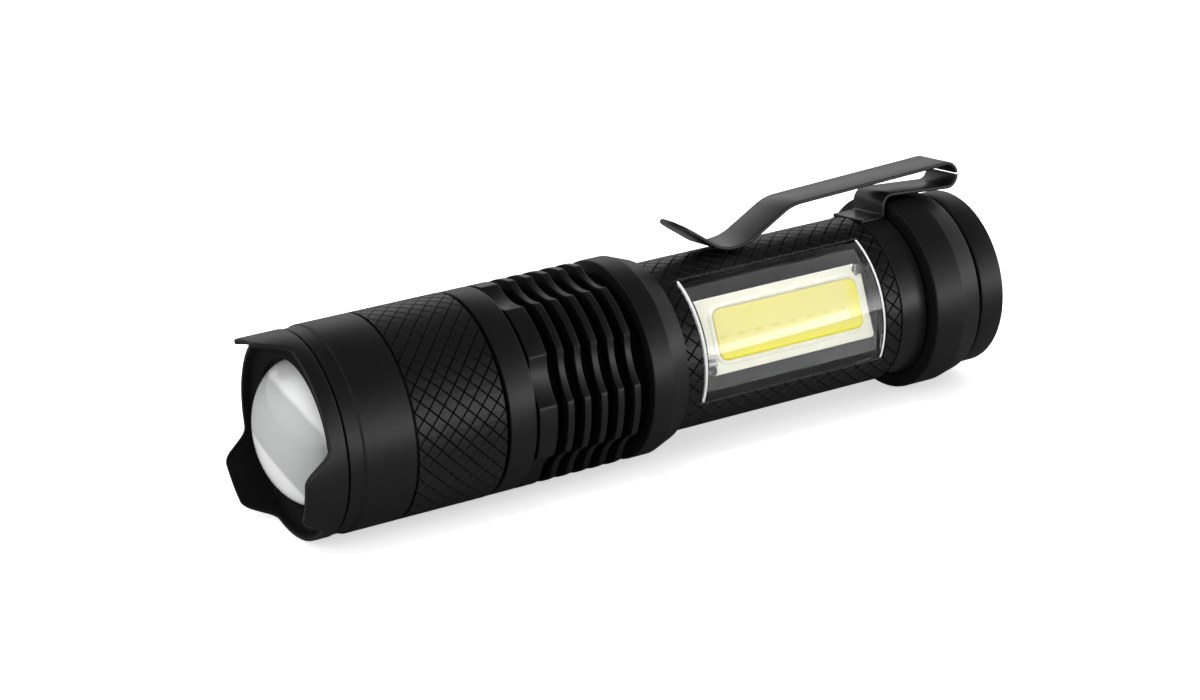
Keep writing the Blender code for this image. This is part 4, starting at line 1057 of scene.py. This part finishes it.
class FLASHLIGHT_OT_body(bpy.types.Operator):
    """Turn the body with its rings, fins, grip and tail thread"""

    bl_idname = "flashlight.body"
    bl_label = "Make Body"

    def execute(self, context):
        s = context.scene.flashlight_body
        light = context.scene.flashlight_light
        start, stop = front("barrel"), rear("barrel")
        face = start + s.neck
        ring = face + s.front_ring
        block = ring + s.ring_groove
        fins = block + s.block
        last = fins + s.fins * s.fin_pitch
        rear_ring = last + s.rear_groove
        cone = rear_ring + s.rear_ring
        grip = cone + s.cone
        collar = front("tail_cap") - s.collar_groove - 0.3 * MM
        thread = front("tail_cap")
        groove = s.radius - s.ring_groove_depth
        under = s.grip_radius - 2 * s.knurl_depth
        outline = [(start, s.neck_radius), (face, s.neck_radius), (face, s.radius)]
        outline += [(ring, s.radius), (ring, groove), (block, groove), (block, s.root)]
        outline += [(rear_ring, s.root), (rear_ring, s.radius), (cone, s.radius)]
        outline += [(grip, s.radius - s.cone_drop), (grip, under), (collar, under), (collar, s.collar_seat)]
        outline += [(thread - 0.3 * MM, s.collar_seat), (thread - 0.3 * MM, s.thread)]
        outline = list(rounded(outline, s.edge, closed=False))
        outline += [(x, s.thread) for x in np.linspace(thread, stop - 0.3 * MM, 22)]
        outline += [(stop, s.thread - 0.3 * MM), (stop, s.bore), (face, s.bore)]
        outline += [(face, s.neck_radius - s.neck_wall), (start, s.neck_radius - s.neck_wall)]

        def threaded(x, r, turns):
            wave = np.abs((x / s.thread_pitch + turns / TURN) % 1.0 - 0.5) * 2
            on_thread = (x > thread - 0.01 * MM) & (x < stop - 0.2 * MM) & (r > s.thread - 0.01 * MM)
            return x, np.where(on_thread, r - 0.45 * MM * (1 - wave), r)

        core = spun(outline, "body", round_angles(168), shape=threaded)
        span = [(-s.radius, light.flat), (s.radius, light.flat), (s.radius, s.radius), (-s.radius, s.radius)]
        window = front("strip_cover") - light.slip, rear("strip_cover") + light.slip
        place = about_axis(light.centre)
        core = cut(core, prism(span, *window, "window", place))
        add_piece("body_core", core, "core_black", "barrel", ["barrel"])

        inner = s.root - 0.4 * MM
        shape = scalloped(s)
        turns = round_angles(720)
        rear_face = fins + s.fin_pitch
        front_face = rear_face - s.fin_thickness
        fin = [(front_face, inner), (front_face, s.radius), (rear_face, s.radius), (rear_face, inner)]
        one = mark_rims(spun(rounded(fin, s.edge, 5), "fin", round_angles(480), shape=shape))
        stack = grown(one, stack_tree(), {"Count": s.fins, "Pitch": s.fin_pitch,
                                          "Finish": look("finned_black")})
        add_piece("fin_stack", stack, "finned_black", "barrel", ["barrel"], 22)
        square = [(block, inner), (block, s.radius), (fins, s.radius), (fins, inner)]
        mesh = mark_rims(spun(rounded(square, s.edge, 5), "block", turns, shape=shape))
        add_piece("scalloped_block", mesh, "finned_black", "barrel", ["barrel"], 22)

        lining = s.grip_radius - 0.9 * MM
        sleeve = knurl_sleeve(grip, collar - grip, s.grip_radius, s, "knurled_black", lining)
        sleeve = cut(sleeve, prism(span, *window, "window", place))
        add_piece("grip_knurl", sleeve, "knurled_black", "barrel", ["barrel"], 0)
        return {"FINISHED"}


def circle(centre, radius, steps=32):
    turns = round_angles(steps)
    return [(centre[0] + radius * math.cos(t), centre[1] + radius * math.sin(t)) for t in turns]


def d_section(radius, base, steps=40):
    half = math.acos(base / radius)
    return [(radius * math.sin(t), radius * math.cos(t)) for t in np.linspace(half, -half, steps + 1)]


class FLASHLIGHT_OT_work_light(bpy.types.Operator):
    """Make the side work light: cover, board, strip and its dam"""

    bl_idname = "flashlight.work_light"
    bl_label = "Make Work Light"

    def execute(self, context):
        s = context.scene.flashlight_light
        radius = context.scene.flashlight_body.grip_radius
        place = about_axis(s.centre)
        start, stop = front("strip_cover"), rear("strip_cover")
        shell = prism(d_section(radius, s.base), start + s.rim, stop - s.rim, "cover", place)
        cavity = d_section(radius - s.wall, s.flat - MM)
        hollow = prism(cavity, start + s.wall, stop - s.wall, "hollow", place)
        cover = bevelled(cut(shell, hollow), 0.12 * MM)
        add_piece("light_cover", cover, "cover_clear", "barrel", ["strip_cover"])
        bow = d_section(radius, s.base) + d_section(radius - s.rim_height, s.base)[::-1]
        ends = [prism(bow, x, x + s.rim, "rim", place) for x in (start, stop - s.rim)]
        rims = bevelled(joined(ends, "rims"), 0.06 * MM)
        add_piece("cover_rims", rims, "frosted_clear", "barrel", ["strip_cover"])

        low, high = (front("strip_board"), -s.board_half), (rear("strip_board"), s.board_half)
        posts = [(low[0] + 0.55 * MM, low[1] + 0.75 * MM), (high[0] - 0.55 * MM, high[1] - 0.75 * MM)]
        outline = soft_rectangle(low, high, s.board_corner)
        soft = 0.08 * MM
        levels = [(s.base, 0.0), (s.board_top - soft, 0.0), (s.board_top, soft)]
        board = pad(outline, levels, "board", place)
        for post in posts:
            bite = circle(post, s.post_bite)
            board = cut(board, pad(bite, [(s.base - MM, 0.0), (s.board_top + MM, 0.0)], "bite", place))
        add_piece("light_board", board, "white_board", "barrel", ["strip_board"])
        pegs = []
        for post in posts:
            ring = circle(post, s.post)
            peg = [(s.base, 0.0), (s.board_top + 0.3 * MM, 0.0), (s.board_top + 0.45 * MM, 0.15 * MM)]
            pegs.append(pad(ring, peg, "peg", place))
        add_piece("cover_posts", joined(pegs, "pegs"), "cover_clear", "barrel", ["strip_cover"])

        box_low, box_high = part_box("strip_phosphor")
        low, high = (box_low.x, -s.strip_half), (box_high.x, s.strip_half)
        outline = soft_rectangle(low, high, s.strip_corner, 8)
        top = s.board_top + 0.5 * MM
        levels = [(s.board_top + 0.05 * MM, 0.0), (top - 0.16 * MM, 0.0), (top - 0.05 * MM, 0.08 * MM)]
        levels += [(top, 0.3 * MM)]
        strip = pad(outline, levels, "strip", place)
        add_piece("light_strip", strip, "yellow_phosphor", "barrel", ["strip_phosphor"])
        wide = s.dam
        outer_high = high[0] + min(wide, 0.5 * MM), high[1] + wide
        outer = soft_rectangle((low[0] - wide, low[1] - wide), outer_high,
                               s.strip_corner + wide, 8)
        rows = [[(x, y, s.board_top + 0.02 * MM) for x, y in outer]]
        for k, lift in ((0.25, 0.3), (0.5, 0.4), (0.75, 0.33), (1.0, 0.05)):
            rows.append([(x + (u - x) * k, y + (v - y) * k, s.board_top + lift * MM)
                         for (x, y), (u, v) in zip(outer, outline)])
        dam = grid(rows, "dam", wrap_rows=True, wrap_columns=True)
        dam.transform(place)
        add_piece("light_dam", dam, "white_plastic", "barrel", ["strip_board"], 60)
        return {"FINISHED"}


def arc(centre, radius, start, stop, steps=18):
    turns = np.linspace(start, stop, steps + 1)
    return [(centre[0] + radius * math.cos(t), centre[1] + radius * math.sin(t)) for t in turns]


def ribbon(places, outward, across, halves, thickness, edge, name):
    """A strip with rounded edges through places, each with its outward direction and half width."""
    corner = []
    for sx, sy, start in ((1, 1, 0), (-1, 1, 1), (-1, -1, 2), (1, -1, 3)):
        for t in np.linspace(0, math.pi / 2, 4):
            turn = start * math.pi / 2 + t
            corner.append((sx, math.cos(turn), sy, math.sin(turn)))
    rows = []
    for place, normal, half in zip(places, outward, halves):
        flat, high = max(half, edge * 1.2) - edge, thickness / 2 - edge
        rows.append([np.array(place) + np.array(across) * (sx * flat + edge * cx)
                     + np.array(normal) * (sy * high + edge * cy) for sx, cx, sy, cy in corner])
    return grid(rows, name, wrap_columns=True, caps=True)


def strip_along(path, half, thickness, edge, name, tip_round=0.0):
    """A strip bent along a path of (station, height) points, with its last end rounded."""
    places = np.array([p for k, p in enumerate(path) if k == 0 or math.dist(p, path[k - 1]) > 1e-6])
    along = np.gradient(places, axis=0)
    along /= np.linalg.norm(along, axis=1)[:, None]
    gaps = np.linalg.norm(np.diff(places, axis=0), axis=1)
    left = np.append(gaps[::-1].cumsum()[::-1], 0.0)
    halves = np.full(len(places), half)
    if tip_round:
        short = np.clip(tip_round - left, 0, tip_round)
        halves -= tip_round - np.sqrt(tip_round ** 2 - short ** 2)
    outward = [(-t[1], 0.0, t[0]) for t in along]
    return ribbon([(x, 0.0, z) for x, z in places], outward, (0, 1, 0), halves, thickness, edge, name)


class ClipPaths:
    """The clip's bends as paths of (station, height above the axis) points."""

    def __init__(self, s, tail, body, cap_radius):
        self.s = s
        self.cap_front, self.cap_rear = front("tail_cap"), rear("tail_cap")
        self.seat = body.collar_seat
        self.grip = body.grip_radius
        self.edge_at = self.cap_front + tail.straight
        self.cap_radius = cap_radius
        self.loop_radius = (s.loop - s.thickness) / 2
        station = self.cap_rear - s.loop_inset - s.loop / 2
        self.loop = (station, self.leg_height(station, self.loop_radius))
        self.gap = s.loop_cut / 2 / self.loop_radius

    def leg_height(self, station, above):
        s = self.s
        clear_by = s.run + s.thickness / 2 + above
        return (self.cap_radius + (self.edge_at - station) * math.tan(s.leg_slope)
                + clear_by / math.cos(s.leg_slope))

    def leg(self):
        s = self.s
        riser = self.cap_front - 0.3 * MM - s.run - s.thickness / 2
        bend = (riser + s.leg_bend, self.leg_height(riser + s.leg_bend, -s.leg_bend))
        level = self.seat + s.run + s.thickness / 2
        fold = 0.6 * MM
        path = [(front("clip_collar"), level), (riser - fold - 0.8 * MM, level)]
        path += arc((riser - fold, level + fold), fold, -math.pi / 2, 0, 8)
        path += arc(bend, s.leg_bend, math.pi, math.pi / 2 - s.leg_slope, 8)
        return path + arc(self.loop, self.loop_radius, -math.pi / 2 - s.leg_slope, -self.gap)

    def arm(self):
        s = self.s
        quarter = math.pi / 2
        level = self.grip + s.touch + s.thickness / 2
        path = arc(self.loop, self.loop_radius, self.gap, quarter + s.arm_slope)
        start = path[-1]
        belly = self.cap_rear - s.belly_reach
        arm_sin, arm_cos = math.sin(s.arm_slope), math.cos(s.arm_slope)
        ramp_sin, ramp_cos = math.sin(s.ramp), math.cos(s.ramp)
        rise = s.belly_radius * (1 - ramp_cos) + s.ramp_radius * (arm_cos - ramp_cos)
        run = s.belly_radius * ramp_sin + s.ramp_radius * (ramp_sin - arm_sin)
        slopes = np.array([[arm_sin, ramp_sin], [arm_cos, ramp_cos]])
        straight, _ = np.linalg.solve(slopes, [start[1] - level - rise, start[0] - belly - run])
        bend = (start[0] - straight * arm_cos + s.ramp_radius * arm_sin,
                start[1] - straight * arm_sin - s.ramp_radius * arm_cos)
        path += arc(bend, s.ramp_radius, quarter + s.arm_slope, quarter + s.ramp)
        path += arc((belly, level + s.belly_radius), s.belly_radius, s.ramp - quarter, -quarter)
        path += arc((belly, level + s.curl_radius), s.curl_radius, -quarter, -quarter - s.tip)
        last = path[-1]
        reach = list(np.linspace(0, s.tip_length - s.tip_round, 4)[1:])
        reach += [s.tip_length - s.tip_round * (1 - math.sin(t)) for t in np.linspace(0, quarter, 14)[1:]]
        return path + [(last[0] - d * math.cos(s.tip), last[1] + d * math.sin(s.tip)) for d in reach]


class FLASHLIGHT_OT_clip(bpy.types.Operator):
    """Bend the pocket clip: collar and leg, and the sprung arm"""

    bl_idname = "flashlight.clip"
    bl_label = "Make Clip"

    def execute(self, context):
        scene = context.scene
        s = scene.flashlight_clip
        cad_radius = scene.flashlight_head.radius + 0.03 * MM
        paths = ClipPaths(s, scene.flashlight_tail, scene.flashlight_body, cad_radius)
        place = about_axis(s.lean)
        low, high = front("clip_collar"), front("tail_cap") - 0.3 * MM - s.run
        turns = np.linspace(-s.collar_half, s.collar_half, 140)
        mid = scene.flashlight_body.collar_seat + s.run + s.thickness / 2
        half = (high - low) / 2
        to_end = mid * (s.collar_half - np.abs(turns))
        short = np.clip(half - to_end, 0, half)
        halves = half - (half - np.sqrt(half ** 2 - short ** 2)) * 0.95
        outward = [(0.0, -math.sin(t), math.cos(t)) for t in turns]
        ring = [((low + high) / 2, -mid * math.sin(t), mid * math.cos(t)) for t in turns]
        band = ribbon(ring, outward, (1, 0, 0), halves, s.thickness, s.edge, "band")
        leg = strip_along(paths.leg(), s.width / 2, s.thickness, s.edge, "leg")
        collar = joined([band, leg], "collar")
        collar.transform(place)
        add_piece("clip_band", collar, "spring_black", "clip_collar", ["clip_collar"],
                  40)
        arm = strip_along(paths.arm(), s.width / 2, s.thickness, s.edge, "arm", s.tip_round)
        arm.transform(place)
        add_piece("clip_spring", arm, "spring_black", "clip_arm", ["clip_arm"], 40)
        return {"FINISHED"}


class FLASHLIGHT_OT_tail(bpy.types.Operator):
    """Turn the tail cap and mould its button"""

    bl_idname = "flashlight.tail"
    bl_label = "Make Tail"

    def execute(self, context):
        s = context.scene.flashlight_tail
        body = context.scene.flashlight_body
        radius = context.scene.flashlight_head.radius
        start, stop = front("tail_cap"), rear("tail_cap")
        cone = start + s.straight
        groove = cone + s.cone
        last = groove + s.groove
        floor, back_r = radius - s.cone_drop - s.groove_depth, radius - s.rear_drop
        wall = stop - s.end_wall
        outline = [(start, radius), (cone, radius), (groove, radius - s.cone_drop)]
        outline += [(groove, floor), (last, floor)]
        outline += [(last, back_r), (stop, back_r), (stop, s.hole), (wall, s.hole), (wall, s.chamber)]
        seat, thread = rear("barrel") + 0.25 * MM, body.thread + 0.25 * MM
        outline += [(seat, s.chamber), (seat, thread), (start, thread)]
        mesh = spun(rounded(outline, s.edge), "cap", round_angles(168))
        add_piece("tail_shell", mesh, "cap_black", "tail_cap", ["tail_cap"])
        low, high = front("button_boot"), rear("button_boot")
        ridge = s.button / (s.ridges + 1)
        face = [(high - 0.12 * MM * (1 - math.cos(TURN * r / ridge)) - 0.1 * MM * (r / s.button) ** 2, r)
                for r in np.linspace(0, s.button - 0.45 * MM, 60)]
        button = face + [(high - 0.4 * MM, s.button), (low, s.button), (low, 0.0)]
        mesh = spun(button, "button", round_angles(96), closed=False)
        add_piece("button", mesh, "black_rubber", "tail_button", ["button_boot"], 50)
        return {"FINISHED"}


class FLASHLIGHT_OT_studio(bpy.types.Operator):
    """Set the floor, lights and camera"""

    bl_idname = "flashlight.studio"
    bl_label = "Set Studio"

    lamps = (
        ("overhead", (-0.10, 0.05, 0.60), (0.0, 0.0, 0.0), (0.55, 0.35), 4.2),
        ("left", (-0.55, -0.25, 0.30), (0.0, 0.0, 0.01), (0.35, 0.35), 1.8),
        ("front", (0.40, -0.72, 0.075), (0.0, 0.0, 0.015), (0.60, 0.14), 1.3),
    )

    def execute(self, context):
        s = context.scene.flashlight_studio
        scene = context.scene
        scene.view_settings.view_transform = "Standard"
        self.make_floor(s)
        self.make_world(scene, s)
        for name, place, aim, size, power in self.lamps:
            light = bpy.data.lights.new(name, "AREA")
            light.shape = "RECTANGLE"
            light.size, light.size_y = size
            light.energy = power
            lamp = bpy.data.objects.new(name, light)
            lamp.location = place
            lamp.rotation_euler = (Vector(aim) - Vector(place)).to_track_quat("-Z", "Y").to_euler()
            lamp.visible_glossy = False
            scene.collection.objects.link(lamp)
        data = bpy.data.cameras.new("camera")
        data.lens, data.sensor_width = s.lens, 36.0
        data.clip_start, data.clip_end = 0.01, 10.0
        camera = bpy.data.objects.new("camera", data)
        camera.location = s.place
        camera.rotation_euler = Vector(s.look).to_track_quat("-Z", "Y").to_euler()
        scene.collection.objects.link(camera)
        scene.camera = camera
        return {"FINISHED"}

    def make_floor(self, s):
        mesh = bpy.data.meshes.new("floor")
        reach = 4.0
        corners = [(-reach, -reach, 0), (reach, -reach, 0), (reach, reach, 0), (-reach, reach, 0)]
        mesh.from_pydata(corners, [], [(0, 1, 2, 3)])
        finish = Finish("floor", {"Roughness": 0.9, "Specular IOR Level": 0.1})
        camera, gloss, _ = self.rays(finish)
        finish.set({"Base Color": finish.mix(gloss, shade(s.floor, 1.0), shade(s.floor, s.floor_gloss))})
        glow = finish.mix(camera, (0.0, 0.0, 0.0, 1.0), (1.0, 1.0, 1.0, 1.0))
        finish.set({"Emission Color": glow, "Emission Strength": s.floor_glow})
        mesh.materials.append(finish.material)
        floor = bpy.data.objects.new("floor", mesh)
        floor.location.z = -0.02 * MM
        bpy.context.scene.collection.objects.link(floor)

    def rays(self, graph):
        """Whether a ray comes from the camera, from a reflection or through glass."""
        path = graph.node("ShaderNodeLightPath")
        through = path.out("Is Transmission Ray")
        return path.out("Is Camera Ray"), path.out("Is Glossy Ray") * (1.0 - through), through

    def make_world(self, scene, s):
        world = bpy.data.worlds.new("studio")
        world.use_nodes = True
        scene.world = world
        graph = Graph(world.node_tree)
        camera, gloss, through = self.rays(graph)
        place = graph.node("ShaderNodeTexCoord", output="Generated")
        toward = graph.node("ShaderNodeSeparateXYZ", {}, {"Vector": place})
        high, ahead = toward.out("Z"), toward * 0.475 - toward.out("Y") * 0.88
        key = graph.step(high, 0.35, 0.05) * graph.step(ahead, 0.3, 0.9) * s.key
        mirrored = graph.step(high, 0.8, 0.3) * (s.horizon - s.zenith) + s.zenith + key
        plain = camera * (1.0 - s.ambient) + through * (s.through - s.ambient) + s.ambient
        strength = gloss * (mirrored - plain) + plain
        graph.feed(world.node_tree.nodes["Background"], {"Color": (1.0, 1.0, 1.0, 1.0), "Strength": strength})


class FLASHLIGHT_PT_panel(bpy.types.Panel):
    """Lists the flashlight's steps and sizes"""

    bl_label = "Flashlight"
    bl_idname = "FLASHLIGHT_PT_panel"
    bl_space_type = "VIEW_3D"
    bl_region_type = "UI"
    bl_category = "Flashlight"

    def draw(self, context):
        for step in STEPS:
            self.layout.operator(step.bl_idname)
        for name, group in GROUPS.items():
            box = self.layout.box()
            box.label(text=group.__doc__)
            for field in group.__annotations__:
                box.prop(getattr(context.scene, name), field)


GROUPS = {
    "flashlight_head": HeadSizes, "flashlight_crown": CrownSizes, "flashlight_lens": LensSizes,
    "flashlight_body": BodySizes, "flashlight_light": LightSizes, "flashlight_clip": ClipSizes,
    "flashlight_tail": TailSizes, "flashlight_colours": FinishColours, "flashlight_studio": StudioSettings,
}
STEPS = (
    FLASHLIGHT_OT_finishes, FLASHLIGHT_OT_inside, FLASHLIGHT_OT_head, FLASHLIGHT_OT_crown, FLASHLIGHT_OT_lens,
    FLASHLIGHT_OT_body, FLASHLIGHT_OT_work_light, FLASHLIGHT_OT_clip,
    FLASHLIGHT_OT_tail, FLASHLIGHT_OT_studio,
)
CLASSES = (*GROUPS.values(), *STEPS, FLASHLIGHT_PT_panel)


def register():
    for group in CLASSES:
        bpy.utils.register_class(group)
    for name, group in GROUPS.items():
        setattr(bpy.types.Scene, name, bpy.props.PointerProperty(type=group))


def unregister():
    for name in GROUPS:
        delattr(bpy.types.Scene, name)
    for group in reversed(CLASSES):
        bpy.utils.unregister_class(group)


def main():
    register()
    for step in STEPS:
        family, name = step.bl_idname.split(".")
        getattr(getattr(bpy.ops, family), name)()


if __name__ == "__main__":
    main()
